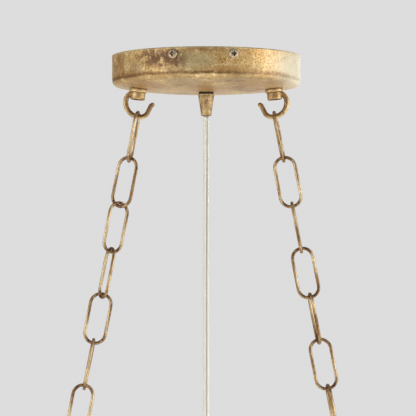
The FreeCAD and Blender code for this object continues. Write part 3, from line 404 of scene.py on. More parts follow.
def patch_group():
    """A ragged patch about a place, for wear and tint, and for a painted highlight, that sits where the photo
    shows it.
    """
    inputs = [("Vector", "Vector"), ("Centre", "Vector"), ("Stretch", "Vector"), ("Raggedness", "Float")]
    group, given, result = new_group("placed_patch", inputs, [("Mask", "Float")])
    spread, sums, blend, grain = node_tools(group)
    links = group.links

    def vector_sum(operation, output, *vectors):
        node = group.nodes.new("ShaderNodeVectorMath")
        node.operation = operation
        for vector, socket in zip(vectors, node.inputs):
            links.new(vector, socket)
        return node.outputs[output]

    offset = vector_sum("SUBTRACT", "Vector", given["Vector"], given["Centre"])
    shrunk = vector_sum("DIVIDE", "Vector", offset, given["Stretch"])
    body = spread(vector_sum("LENGTH", "Value", shrunk), 1.0, 0.35)
    ragged = grain(given["Vector"], 190, 4, 0.7, 0.6)
    broken = sums("MULTIPLY", body, spread(ragged, 0.42, 0.56))
    solid = sums("MULTIPLY", body, body)
    mask = group.nodes.new("ShaderNodeMix")
    links.new(given["Raggedness"], mask.inputs[0])
    links.new(solid, mask.inputs[2])
    links.new(broken, mask.inputs[3])
    links.new(mask.outputs[0], result["Mask"])
    return group


antique_leaf = leaf_group()
placed_patch = patch_group()


def leafed_material(
    name,
    leaf=LEAF,
    pale=PALE_LEAF,
    under=UMBER,
    tint=GREEN_GREY,
    patch_scale=24,
    rubbed=0.8,
    tinted=0.4,
    streaked=0,
    shift=(0, 0, 0),
    patches=(),
    attributes=(),
    crease=None,
    metallic=0.35,
    bump=0.4,
    bump_depth=0.0007,
):
    """Antique leaf on a metal shader, with placed patches, and the painted highlights, painted shade and wear
    that the mesh's attributes carry.
    """
    material, shader = plain_material(name, leaf, 0.45, metallic)
    nodes = material.node_tree.nodes
    links = material.node_tree.links
    spread, sums, blend, grain = node_tools(material.node_tree)
    coordinates = nodes.new("ShaderNodeTexCoord").outputs["Object"]
    spot = nodes.new("ShaderNodeMapping")
    spot.inputs["Location"].default_value = shift
    links.new(coordinates, spot.inputs["Vector"])
    wear = nodes.new("ShaderNodeGroup")
    wear.node_tree = antique_leaf
    links.new(spot.outputs["Vector"], wear.inputs["Vector"])
    for socket, color in (("Leaf", leaf), ("Pale", pale), ("Under", under), ("Tint", tint)):
        wear.inputs[socket].default_value = (*color, 1)
    wear.inputs["Patch Scale"].default_value = patch_scale
    for socket, strength in (("Rubbed", rubbed), ("Tinted", tinted), ("Streaked", streaked)):
        wear.inputs[socket].default_value = strength
    color = wear.outputs["Color"]
    for centre, stretch, raggedness, amount, patch_color in patches:
        patch = nodes.new("ShaderNodeGroup")
        patch.node_tree = placed_patch
        links.new(coordinates, patch.inputs["Vector"])
        patch.inputs["Centre"].default_value = centre
        patch.inputs["Stretch"].default_value = stretch
        patch.inputs["Raggedness"].default_value = raggedness
        color = blend(sums("MULTIPLY", patch.outputs["Mask"], amount), color, (*patch_color, 1))
    # The mesh's attributes paint highlights and shade into the colour, along with some wear and soil.
    for attribute, marked_color in (("highlight_and_wear", pale), ("shade_and_soil", crease or under)):
        if attribute in attributes:
            carried = nodes.new("ShaderNodeAttribute")
            carried.attribute_name = attribute
            broken = spread(grain(coordinates, 300, 3, 0.7), 0.3, 0.55, 0.35, 1.0)
            color = blend(sums("MULTIPLY", carried.outputs["Fac"], broken), color, (*marked_color, 1))
    links.new(color, shader.inputs["Base Color"])
    links.new(wear.outputs["Roughness"], shader.inputs["Roughness"])
    relief(material, wear.outputs["Height"], bump, bump_depth)
    return material


# Each patch: its place, its reach along each axis, how ragged it is, how strong, and its colour.
CANOPY_PATCHES = (
    # The first patch, pale on the band's right, is partly the leaf's paler colour and partly a painted
    # highlight.
    ((0.084, -0.025, -0.014), (0.056, 0.07, 0.03), 0.15, 0.9, (0.97, 0.9, 0.7)),
    ((-0.014, -0.084, -0.012), (0.032, 0.03, 0.013), 0.4, 0.65, (0.44, 0.39, 0.23)),
    ((-0.043, -0.074, -0.006), (0.024, 0.03, 0.013), 0.85, 0.95, (0.15, 0.075, 0.028)),
    ((-0.026, -0.081, -0.012), (0.011, 0.02, 0.013), 0.75, 0.9, (0.17, 0.09, 0.033)),
    ((-0.041, -0.076, -0.009), (0.034, 0.035, 0.018), 0.75, 0.85, (0.13, 0.058, 0.024)),
    ((0.002, -0.085, -0.001), (0.03, 0.02, 0.006), 0.7, 0.9, (0.24, 0.12, 0.04)),
    ((0.037, -0.076, -0.002), (0.02, 0.02, 0.006), 0.8, 0.6, (0.3, 0.16, 0.05)),
    ((-0.073, -0.045, -0.022), (0.035, 0.05, 0.006), 0.9, 0.85, (0.3, 0.14, 0.045)),
    ((-0.078, -0.035, -0.012), (0.008, 0.03, 0.02), 0.8, 0.7, (0.33, 0.15, 0.045)),
    ((0.02, -0.08, -0.0205), (0.035, 0.03, 0.004), 0.7, 0.8, (0.38, 0.2, 0.06)),
    ((0.055, -0.06, -0.0215), (0.028, 0.04, 0.003), 0.8, 0.85, (0.24, 0.11, 0.035)),
    ((-0.06, -0.03, -0.03), (0.045, 0.045, 0.006), 0.6, 0.75, (0.36, 0.17, 0.05)),
    ((0.0, -0.02, -0.032), (0.03, 0.045, 0.005), 0.45, 0.75, (0.42, 0.2, 0.055)),
    ((0.05, -0.035, -0.03), (0.05, 0.045, 0.006), 0.6, 0.7, (0.44, 0.22, 0.06)),
)
canopy_gold = leafed_material(
    "canopy_leaf",
    shift=(0.031, 0.012, 0.04),
    rubbed=0.75,
    tinted=0.35,
    streaked=0.45,
    patches=CANOPY_PATCHES,
    crease=(0.17, 0.085, 0.028),
    attributes=("highlight_and_wear", "shade_and_soil"),
)


def arc_points(centre, radius, start, end, steps):
    """Points of an arc in the (radius, height) plane, in degrees from the outward direction."""
    return [
        (
            centre[0] + radius * math.cos(math.radians(start + (end - start) * i / steps)),
            centre[1] + radius * math.sin(math.radians(start + (end - start) * i / steps)),
        )
        for i in range(steps + 1)
    ]


def lathed(outline, sides=72, closed=False):
    """A bmesh spun about Z from an outline of (radius, height) points."""
    bm = bmesh.new()
    verts = [bm.verts.new((radius, 0, height)) for radius, height in outline]
    edges = [bm.edges.new((verts[i], verts[i + 1])) for i in range(len(verts) - 1)]
    if closed:
        edges.append(bm.edges.new((verts[-1], verts[0])))
    bmesh.ops.spin(
        bm,
        geom=verts + edges,
        cent=(0, 0, 0),
        axis=(0, 0, 1),
        angle=math.tau,
        steps=sides,
        use_merge=True,
    )
    bmesh.ops.remove_doubles(bm, verts=bm.verts, dist=1e-6)
    bmesh.ops.recalc_face_normals(bm, faces=bm.faces)
    return bm


def painted_light_and_wear_layers(bm):
    """The values on the vertices that say where the leaf is lightened by painted highlights and wear, and
    where it's darkened by painted shade and soil.
    """
    return [bm.verts.layers.float.new(name) for name in ("highlight_and_wear", "shade_and_soil")]


canopy_low, canopy_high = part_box("canopy_shell")
canopy_radius = canopy_high.x
dome_rise = -canopy_low.z - CANOPY_BAND
dome_radius = (canopy_radius**2 + dome_rise**2) / (2 * dome_rise)
dome_centre = dome_radius + canopy_low.z
shoulder_reach = canopy_radius - SHOULDER_ROUND
shoulder_centre = dome_centre - math.sqrt((dome_radius - SHOULDER_ROUND) ** 2 - shoulder_reach**2)
shoulder_end = math.degrees(math.asin(shoulder_reach / (dome_radius - SHOULDER_ROUND)))
dome_start = shoulder_end - 90
dome_end = math.degrees(math.asin(GLAND_HOLE / dome_radius)) - 90
canopy_outline = [
    (canopy_radius, shoulder_centre * i / CANOPY_BAND_STEPS - CEILING_CLEAR) for i in range(CANOPY_BAND_STEPS)
]
canopy_outline += arc_points((shoulder_reach, shoulder_centre), SHOULDER_ROUND, 0, dome_start, 12)
canopy_outline += arc_points((0, dome_centre), dome_radius, dome_start, dome_end, DOME_STEPS)[1:]
canopy_bm = lathed(canopy_outline, CANOPY_SIDES)
light, dark = painted_light_and_wear_layers(canopy_bm)
# The crease wavers around the pan, with painted shade above it that eases off on the right, a faint painted
# highlight on the strip below, and the rim rubbed bright.
# The band's dents go inwards and fade out at the ceiling, so that the rim stays true.
for vert in canopy_bm.verts:
    spoke = vert.co.xy.to_3d()
    reach = spoke.length
    around = spoke / canopy_radius
    waver = noise.noise(around * CREASE_FINENESS[0])
    waver += 0.5 * noise.noise(around * CREASE_FINENESS[1] + Vector((4, 1, 2)))
    crease_at = CREASE_HEIGHT + CREASE_WAVER * waver
    outside = near(reach, canopy_radius, SHOULDER_ROUND * 0.8)
    above = near(vert.co.z, crease_at + CREASE_REACH * 0.6, CREASE_REACH)
    strip = near(vert.co.z, crease_at - CREASE_REACH * 0.9, CREASE_REACH * 1.3)
    rim = near(vert.co.z, 0, RIM_WEAR)
    ragged = 0.75 + 0.5 * noise.noise(around * CREASE_RAGGED)
    # The painted shade along the crease eases off on the right, where the light falls.
    shade_eased_right = 1 - 0.9 * max(0, around.x - 0.2)
    vert[dark] = min(1, above * outside * (0.6 + ragged)) * shade_eased_right
    vert[light] = min(1, 0.1 * strip * outside * ragged + 0.6 * rim)
    dent = noise.noise(vert.co * DOME_FINENESS[0]) + 0.6 * noise.noise(vert.co * DOME_FINENESS[1])
    if vert.co.z > shoulder_centre - SHOULDER_ROUND * 0.5 and reach > canopy_radius - SHOULDER_ROUND:
        fading = min(1, -vert.co.z / RIM_TRUE) ** 3
        vert.co -= spoke.normalized() * (DOME_WAVER * (1 + dent) * fading + CREASE_DEPTH * above * outside)
    else:
        vert.co.z += DOME_WAVER * (0.6 + dent)
canopy = dress(canopy_bm, "canopy_pan", [canopy_gold], "canopy_shell", "ceiling_canopy")
canopy_wall = canopy.modifiers.new("sheet", "SOLIDIFY")
canopy_wall.thickness = CANOPY_GAUGE
canopy_wall.offset = -1

# Hidden fittings: a zinc-plated plate, nuts, nipple and centre tube, and a green ground screw, black washer,
# copper leads and orange wire connectors. All but the tube and the washer's edge are inside the canopy.
def grained_material(name, color, dark, roughness, grain_scale, metallic=0.0):
    """A moulded, drawn or plated surface with a fine grain in its colour and relief."""
    material, shader = plain_material(name, color, roughness, metallic)
    nodes = material.node_tree.nodes
    links = material.node_tree.links
    spread, sums, blend, grain = node_tools(material.node_tree)
    coordinates = nodes.new("ShaderNodeTexCoord").outputs["Object"]
    fine = grain(coordinates, grain_scale, 4)
    broad = grain(coordinates, grain_scale / 7, 3)
    shade = sums("MULTIPLY", spread(fine, 0.3, 0.62), spread(broad, 0.25, 0.6, 0.45, 1.0))
    links.new(blend(shade, (*dark, 1), (*color, 1)), shader.inputs["Base Color"])
    links.new(spread(fine, 0.3, 0.7, roughness * 0.8, roughness * 1.25), shader.inputs["Roughness"])
    relief(material, fine, 0.15, 0.0002)
    return material


def give_material(node, material):
    """A CAD node's own mesh gets this finish."""
    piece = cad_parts[node]
    piece.data.materials.clear()
    piece.data.materials.append(material)
    for polygon in piece.data.polygons:
        polygon.material_index = 0


zinc_metal = grained_material("zinc_plate", (0.62, 0.62, 0.58), (0.4, 0.38, 0.32), 0.38, 260, 0.85)
for node in ("mounting_plate", "hook_washers", "hook_nuts", "gland_nipple", "gland_locknut", "centre_tube"):
    give_material(node, zinc_metal)
# Each fitting: its finish, the lighter and the darker colour, roughness, fineness of grain, and metal share.
FITTING_FINISHES = {
    "ground_screw": ("green_zinc", (0.07, 0.4, 0.16), (0.03, 0.2, 0.08), 0.35, 300, 0.6),
    "gland_washer": ("black_rubber", (0.022, 0.02, 0.018), (0.01, 0.01, 0.01), 0.7, 500),
    "canopy_leads": ("copper_wire", (0.75, 0.38, 0.22), (0.5, 0.22, 0.12), 0.3, 600, 0.9),
    "cord_tail": ("cord_end_jacket", (0.6, 0.59, 0.53), (0.4, 0.39, 0.34), 0.3, 500, 0.3),
    "wire_connectors": ("connector_plastic", (0.72, 0.24, 0.04), (0.55, 0.16, 0.03), 0.45, 220),
}
for node, finish in FITTING_FINISHES.items():
    give_material(node, grained_material(*finish))

# Side screws: nickel-plated steel pan heads with a stamped cross recess, with painted shade in the recess and
# a painted shadow toward the foot of the head. They pass through the canopy's band into the tapped tabs of
# the plate.
SCREW_HEAD = 0.00425
SCREW_CROWN = 0.0022
SCREW_BARREL = 0.0009
SCREW_SHANK = 0.002
SCREW_LENGTH = 0.01
RECESS_HALF = 0.0026
RECESS_SLOT = 0.00075
RECESS_SINK = 0.0014
RECESS_WALL = 0.0002
SCREW_DROP = 0.006
SCREW_ANGLES = (-110.1, -73.5, 69.9, 106.5)
SCREW_STEPS = 34
screw_metal = leafed_material(
    "nickel_screw",
    leaf=(0.46, 0.36, 0.24),
    pale=(0.78, 0.67, 0.5),
    under=(0.2, 0.12, 0.06),
    patch_scale=150,
    rubbed=0.7,
    tinted=0.1,
    metallic=0.6,
    attributes=("shade_and_soil",),
    crease=(0.05, 0.028, 0.016),
    bump=0.2,
    bump_depth=0.0002,
)


def screw_recess(x, y):
    """How deep the stamped cross is at a place on the head, as a share of its full depth."""
    depth = 0
    for along, across in ((abs(x), abs(y)), (abs(y), abs(x))):
        taper = max(0, 1 - max(0, along - RECESS_SLOT) / (RECESS_HALF - RECESS_SLOT))
        wall = max(0, min(1, (RECESS_SLOT - across) / RECESS_WALL + 0.5))
        depth = max(depth, min(1, taper * 1.6) * wall)
    return depth


def join(whole, bm):
    """A bmesh goes into another one, which keeps its attributes and material numbers."""
    carrier = bpy.data.meshes.new("joined")
    bm.to_mesh(carrier)
    bm.free()
    whole.from_mesh(carrier)
    bpy.data.meshes.remove(carrier)


screws_bm = bmesh.new()
screws_bm.verts.layers.float.new("shade_and_soil")
crown = SCREW_CROWN - SCREW_BARREL
for angle in SCREW_ANGLES:
    head_outline = [(0, -SCREW_LENGTH), (SCREW_SHANK, -SCREW_LENGTH), (SCREW_SHANK, 0), (SCREW_HEAD, 0)]
    head_outline.append((SCREW_HEAD, SCREW_BARREL))
    for i in range(1, SCREW_STEPS + 1):
        reach = SCREW_HEAD * (1 - i / SCREW_STEPS)
        head_outline.append((reach, SCREW_BARREL + crown * (1 - (reach / SCREW_HEAD) ** 4) ** 0.8))
    screw_bm = lathed(head_outline)
    level = screw_bm.verts.layers.float.new("shade_and_soil")
    # Painted shade in the cross recess, and a painted shadow that darkens the head toward its foot.
    for vert in screw_bm.verts:
        if vert.co.z > SCREW_BARREL / 2:
            depth = screw_recess(vert.co.x, vert.co.y)
            vert.co.z -= RECESS_SINK * depth
            edge = max(0, 1 - (SCREW_CROWN - vert.co.z) / SCREW_CROWN)
            vert[level] = min(1, depth * 1.6 + 0.5 * (1 - edge) ** 3)
    place = Matrix.Rotation(math.radians(angle), 4, "Z") @ Matrix.Translation((canopy_radius, 0, -SCREW_DROP))
    place = place @ Matrix.Rotation(math.radians(90), 4, "Y")
    bmesh.ops.transform(screw_bm, matrix=place, verts=screw_bm.verts)
    join(screws_bm, screw_bm)
dress(screws_bm, "side_screws", [screw_metal], "canopy_side_screws", "ceiling_canopy")


# Hooks: round bar bent cold to an open ring with a flared, rounded tip, threaded where it passes the canopy.
# Its leaf has painted shade inside the ring and a painted highlight around the outside.
def drawn_bar(radius, sides, start, heading, stretches, thickness=None):
    """A round bar in the XZ plane, by (length, turn, steps) stretches, its rings and its last heading."""
    bm = bmesh.new()
    bmesh.ops.create_circle(bm, segments=sides, radius=radius)
    bmesh.ops.rotate(bm, verts=bm.verts, matrix=Matrix.Rotation(heading, 3, "Y"))
    bmesh.ops.translate(bm, verts=bm.verts, vec=start)
    place = Vector(start)
    front = list(bm.verts) + list(bm.edges)
    rings = [(place.copy(), 0, list(bm.verts))]
    total = sum(length for length, turn, steps in stretches)
    gone = 0
    for length, turn, steps in stretches:
        for step in range(steps):
            if turn:
                sideways = Vector((math.cos(heading), 0, -math.sin(heading)))
                centre = place + sideways * (length / turn)
                swing = {"cent": centre, "angle": turn / steps}
                place = centre + Matrix.Rotation(turn / steps, 3, "Y") @ (place - centre)
                heading += turn / steps
            else:
                ahead = Vector((math.sin(heading), 0, math.cos(heading)))
                swing = {"dvec": ahead * (length / steps), "angle": 0}
                place = place + ahead * (length / steps)
            front = bmesh.ops.spin(bm, geom=front, axis=(0, 1, 0), steps=1, **swing)["geom_last"]
            gone += length / steps
            ring = [item for item in front if isinstance(item, bmesh.types.BMVert)]
            rings.append((place.copy(), gone / total, ring))
    for centre, share, ring in rings:
        if thickness:
            for vert in ring:
                vert.co = centre + (vert.co - centre) * thickness(share)
    return bm, rings, heading


def domed_end(bm, ring, heading, radius, steps=5):
    """The last ring of a bar closed by a dome."""
    ahead = Vector((math.sin(heading), 0, math.cos(heading)))
    centre = sum((vert.co for vert in ring), Vector()) / len(ring)
    edges = [edge for edge in bm.edges if all(vert in ring for vert in edge.verts)]
    last = 0
    for step in range(1, steps + 1):
        ring, edges = new_ring(bmesh.ops.extrude_edge_only(bm, edges=edges)["geom"])
        angle = math.pi / 2 * step / (steps + 0.4)
        shrink = math.cos(angle) / math.cos(last)
        rise = ahead * radius * (math.sin(angle) - math.sin(last))
        for vert in ring:
            vert.co = centre + rise + (vert.co - centre) * shrink
        centre = centre + rise
        last = angle
    bmesh.ops.holes_fill(bm, edges=edges, sides=0)


def hammered(bm, depth, fineness):
    """Dents pushed into a worked surface, never out of it."""
    bm.normal_update()
    for vert in bm.verts:
        dent = noise.noise(vert.co * fineness) + 0.5 * noise.noise(vert.co * fineness * 2.7)
        vert.co -= vert.normal * depth * max(0, 0.5 + dent)


SIDES = (("left", -1), ("right", 1))
HOOK_RING = 0.013
HOOK_NECK = 0.0085
HOOK_BEND = 0.007
HOOK_TAIL = 0.006
HOOK_FLARE = 0.0034
HOOK_BAR = 0.00225
HOOK_SIDES = 20
HOOK_START = 70
HOOK_NECK_END = 170
HOOK_RING_END = 275
HOOK_BEND_END = 334
HOOK_FLARED = 40
HOOK_TIP_SHARE = 0.87
HOOK_RIM_INSET = 0.024
STUD = 0.003
THREAD_TURNS = 20
STUD_SIDES = 24
HOOK_DENTS = (0.00012, 520)
HOOK_SHADE_FINENESS = 210
HOOK_SHINE_FINENESS = 160
seat_lean = math.asin((canopy_radius - HOOK_RIM_INSET) / dome_radius)
FITTING_PATCHES = (
    ((-0.061, 0, -0.032), (0.013, 0.013, 0.009), 0.3, 0.6, (0.85, 0.68, 0.38)),
    ((0.061, 0, -0.032), (0.013, 0.013, 0.009), 0.3, 0.7, (0.24, 0.115, 0.04)),
    ((-0.066, 0, -0.05), (0.018, 0.01, 0.017), 0.5, 0.6, (0.2, 0.14, 0.085)),
)
fitting_gold = leafed_material(
    "fitting_leaf",
    leaf=(0.43, 0.275, 0.115),
    patches=FITTING_PATCHES,
    patch_scale=70,
    rubbed=0.95,
    tinted=0.4,
    tint=RUST,
    under=(0.16, 0.07, 0.026),
    metallic=0.6,
    shift=(0.2, 0.1, 0.3),
    attributes=("highlight_and_wear", "shade_and_soil"),
    bump=0.35,
    bump_depth=0.0004,
)


def hook_taper(share):
    """The bar's thickness along the hook, thinner toward the tip."""
    return 1 - (1 - HOOK_TIP_SHARE) * max(0, 2 * share - 1)


def around_hook(centre, radius, angle):
    """A point of the left hook's plane, its angle turned from inward toward up."""
    return centre + radius * Vector((math.cos(math.radians(angle)), 0, math.sin(math.radians(angle))))


for side_name, side in SIDES:
    hook_low, hook_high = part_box(f"{side_name}_hook")
    outer_edge = hook_low.x if side < 0 else -hook_high.x
    ring_centre = Vector((outer_edge + HOOK_RING + HOOK_BAR, 0, hook_low.z + HOOK_RING + HOOK_BAR))
    neck_centre = around_hook(ring_centre, HOOK_RING - HOOK_NECK, HOOK_NECK_END)
    start = around_hook(neck_centre, HOOK_NECK, HOOK_START)
    stretches = []
    for radius, turned, steps in (
        (HOOK_NECK, HOOK_NECK_END - HOOK_START, 16),
        (HOOK_RING, HOOK_RING_END - HOOK_NECK_END, 24),
        (HOOK_BEND, HOOK_BEND_END - HOOK_RING_END, 10),
    ):
        stretches.append((radius * math.radians(turned), -math.radians(turned), steps))
    stretches.append((HOOK_TAIL, 0, 5))
    stretches.append((HOOK_FLARE * math.radians(HOOK_FLARED), math.radians(HOOK_FLARED), 6))
    heading = -math.radians(HOOK_START)
    hook_bm, rings, heading = drawn_bar(HOOK_BAR, HOOK_SIDES, start, heading, stretches, hook_taper)
    domed_end(hook_bm, rings[-1][2], heading, HOOK_BAR * HOOK_TIP_SHARE)
    bmesh.ops.holes_fill(hook_bm, edges=hook_bm.edges, sides=0)
    hammered(hook_bm, *HOOK_DENTS)
    stud_outline = [(0, -STUD), (STUD, -STUD * 0.7)]
    stud_length = (hook_high.z - start.z - STUD * math.sin(seat_lean)) / math.cos(seat_lean)
    for thread in range(THREAD_TURNS):
        level = stud_length * thread / THREAD_TURNS
        stud_outline += [(STUD, level), (STUD * 0.87, level + stud_length / THREAD_TURNS / 2)]
    stud_outline += [(STUD * 0.8, stud_length), (0, stud_length)]
    stud_bm = lathed(stud_outline, STUD_SIDES)
    bmesh.ops.rotate(stud_bm, verts=stud_bm.verts, matrix=Matrix.Rotation(seat_lean, 3, "Y"))
    bmesh.ops.translate(stud_bm, verts=stud_bm.verts, vec=start)
    join(hook_bm, stud_bm)
    light, dark = painted_light_and_wear_layers(hook_bm)
    # Painted shade inside the ring and a painted highlight around its outside.
    for vert in hook_bm.verts:
        inner = HOOK_RING - (vert.co - ring_centre).length
        shaded = max(0, min(1, 0.5 + inner / HOOK_BAR * 0.7))
        vert[dark] = shaded * (0.6 + 0.5 * noise.noise(vert.co * HOOK_SHADE_FINENESS))
        vert[light] = max(0, min(0.9, -0.2 - inner / HOOK_BAR + noise.noise(vert.co * HOOK_SHINE_FINENESS)))
    if side > 0:
        bmesh.ops.scale(hook_bm, verts=hook_bm.verts, vec=(-1, 1, 1))
    bmesh.ops.recalc_face_normals(hook_bm, faces=hook_bm.faces)
    dress(hook_bm, f"{side_name}_bent_hook", [fitting_gold], f"{side_name}_hook", "ceiling_canopy")

# Collars: turned steel cups with a flange, seated square to the dome and open below around the hook's bar.
# The nut on the hook's stud clamps each of them against the pan.
COLLAR_BORE = 0.0035
COLLAR_SEAT = 0.00015
COLLAR_FLANGE = 0.0081
COLLAR_FLANGE_HEIGHT = 0.0032
COLLAR_BODY = 0.00675
COLLAR_HEIGHT = 0.0098
COLLAR_LIP = 0.0011
COLLAR_CUP_DEPTH = 0.002
COLLAR_DENTS = (0.00012, 420)
COLLAR_SHADE = (COLLAR_FLANGE_HEIGHT + 0.0004, 0.0009)
COLLAR_SHINE = (0.0022, 0.0012)
# How far each point of the turned flange and wall lies outside its radius, and its height off the dome.
# The painted shade under the flange and the painted highlight on its rim each have a height and a reach.
FLANGE_POINTS = ((-0.0004, COLLAR_SEAT), (0, 0.0006), (-0.00015, 0.0013), (0, 0.0019), (0, 0.0027))
FLANGE_POINTS += ((-0.0006, COLLAR_FLANGE_HEIGHT),)
WALL_POINTS = ((0.0001, 0.0033), (-0.0002, 0.0038), (0, 0.00539), (-0.00012, 0.00735), (0, 0.0092))
WALL_POINTS += ((-0.0005, COLLAR_HEIGHT), (-COLLAR_LIP, COLLAR_HEIGHT), (-0.0014, 0.008))
collar_outline = [(COLLAR_BORE, COLLAR_SEAT)]
collar_outline += [(COLLAR_FLANGE + growth, height) for growth, height in FLANGE_POINTS]
collar_outline += [(COLLAR_BODY + growth, height) for growth, height in WALL_POINTS]
collar_outline.append((COLLAR_BORE, COLLAR_HEIGHT - COLLAR_CUP_DEPTH))
for side_name, side in SIDES:
    downward = Vector((side * math.sin(seat_lean), 0, -math.cos(seat_lean)))
    seat_point = Vector((0, 0, dome_centre)) + downward * dome_radius
    collar_bm = lathed(collar_outline, closed=True)
    light, dark = painted_light_and_wear_layers(collar_bm)
    # Painted shade under the flange and inside the cup, and a painted highlight on the flange's rim.
    for vert in collar_bm.verts:
        reach = vert.co.xy.length
        under_flange = near(vert.co.z, *COLLAR_SHADE)
        cup = 1.0 if reach < COLLAR_BODY - COLLAR_LIP / 2 and vert.co.z > COLLAR_HEIGHT / 2 else 0.0
        vert[dark] = max(cup, under_flange * 0.9)
        vert[light] = 0.8 * near(vert.co.z, *COLLAR_SHINE) * (reach > COLLAR_BODY)
    collar_turn = Vector((0, 0, 1)).rotation_difference(downward)
    place = Matrix.Translation(seat_point) @ collar_turn.to_matrix().to_4x4()
    bmesh.ops.transform(collar_bm, matrix=place, verts=collar_bm.verts)
    hammered(collar_bm, *COLLAR_DENTS)
    dress(collar_bm, f"{side_name}_turned_collar", [fitting_gold], f"{side_name}_collar", "ceiling_canopy")

# Cord gland: a tapered brass sleeve with a rolled top edge and a small bead at its mouth, leafed darker than
# the canopy and mottled with brown. It has painted shade under the rolled edge and inside, and a painted
# highlight on the edge.
GLAND_TOP = 0.0074
GLAND_END = 0.005
GLAND_MOUTH = 0.0043
GLAND_BORE = 0.0039
GLAND_FLARE = 0.003
GLAND_WAIST = 0.00025
GLAND_SHADE_INSIDE = 0.0044
GLAND_EDGE_SHADE = (-0.0019, 0.00064)
GLAND_SHINE = (-0.0006, 0.00048)
# How far each point of the rolled edge and of the bead lies outside its radius, and its height. The painted
# shade under the edge and the painted highlight on it each have a height and a reach.
GLAND_TOP_POINTS = ((-0.0007, 0), (-0.0001, -0.0003), (0, -0.0009), (-0.00035, -0.0017), (-0.0004, -0.003))
GLAND_END_POINTS = ((-0.00015, 0.0026), (-0.0002, 0.0016), (0, 0.0011), (-0.0001, 0.0003), (-0.0005, 0))
gland_low, gland_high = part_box("cord_gland")
gland_length = gland_high.z - gland_low.z
gland_outline = [(GLAND_BORE, 0)]
gland_outline += [(GLAND_TOP + growth, height) for growth, height in GLAND_TOP_POINTS]
gland_outline.append(((GLAND_TOP + GLAND_END) / 2 - GLAND_WAIST, -gland_length / 2))
gland_outline += [(GLAND_END + growth, height - gland_length) for growth, height in GLAND_END_POINTS]
gland_outline += [(GLAND_MOUTH, -gland_length), (GLAND_BORE, GLAND_FLARE - gland_length)]
gland_bm = lathed(gland_outline, closed=True)
light, dark = painted_light_and_wear_layers(gland_bm)
# Painted shade inside the bore and under the rolled edge, and a painted highlight on the edge.
for vert in gland_bm.verts:
    vert[dark] = 1.0 if vert.co.xy.length < GLAND_SHADE_INSIDE else 0.8 * near(vert.co.z, *GLAND_EDGE_SHADE)
    vert[light] = 0.8 * near(vert.co.z, *GLAND_SHINE)
bmesh.ops.translate(gland_bm, verts=gland_bm.verts, vec=(0, 0, gland_high.z))
gland_gold = leafed_material(
    "gland_leaf",
    leaf=(0.34, 0.225, 0.1),
    patch_scale=55,
    rubbed=0.95,
    tinted=0.45,
    tint=(0.4, 0.22, 0.08),
    shift=(0.02, 0.4, 0.13),
    attributes=("highlight_and_wear", "shade_and_soil"),
)
dress(gland_bm, "tapered_gland", [gland_gold], "cord_gland", "ceiling_canopy")

# Chains: long links bent from 3 mm wire and butt welded at the middle of one side, leafed and rubbed, with
# painted shade in rust brown in the bows, where each link bears on the next.
CHAIN_LEAN = 10.95
LINK_INNER_LENGTH = 0.042
LINK_INNER_WIDTH = 0.0155
LINK_WIRE = 0.003
LINK_SIDES = 16
LINK_SLIM_SHARE = 0.98
WELD_REACH_SHARE = 0.012
LINK_DENTS = (0.00005, 700)
LINK_STREAKS = Vector((460, 460, 45))
LINK_MERGE = 0.00001
# How far each link is turned about the chain's line, in degrees, from the hook down.
LINK_TURNS = {
    "left": (82, -28, 34, -67, 0, 90, 16, -68, 14, -80),
    "right": (83, 0, 87, 0, -84, 0, -84, 25, -38, 72),
}
link_gold = leafed_material(
    "link_leaf",
    leaf=(0.33, 0.195, 0.08),
    pale=(0.74, 0.6, 0.38),
    under=(0.13, 0.06, 0.023),
    tint=RUST,
    patch_scale=60,
    rubbed=0.7,
    tinted=0.5,
    attributes=("highlight_and_wear", "shade_and_soil"),
    crease=(0.12, 0.045, 0.016),
    bump=0.5,
    bump_depth=0.0004,
    metallic=0.7,
)


def link_thickness(share):
    """The wire's thickness around a link, full only at the weld where the bar's ends meet."""
    weld = near(min(share, 1 - share), 0, WELD_REACH_SHARE)
    return LINK_SLIM_SHARE + (1 - LINK_SLIM_SHARE) * weld


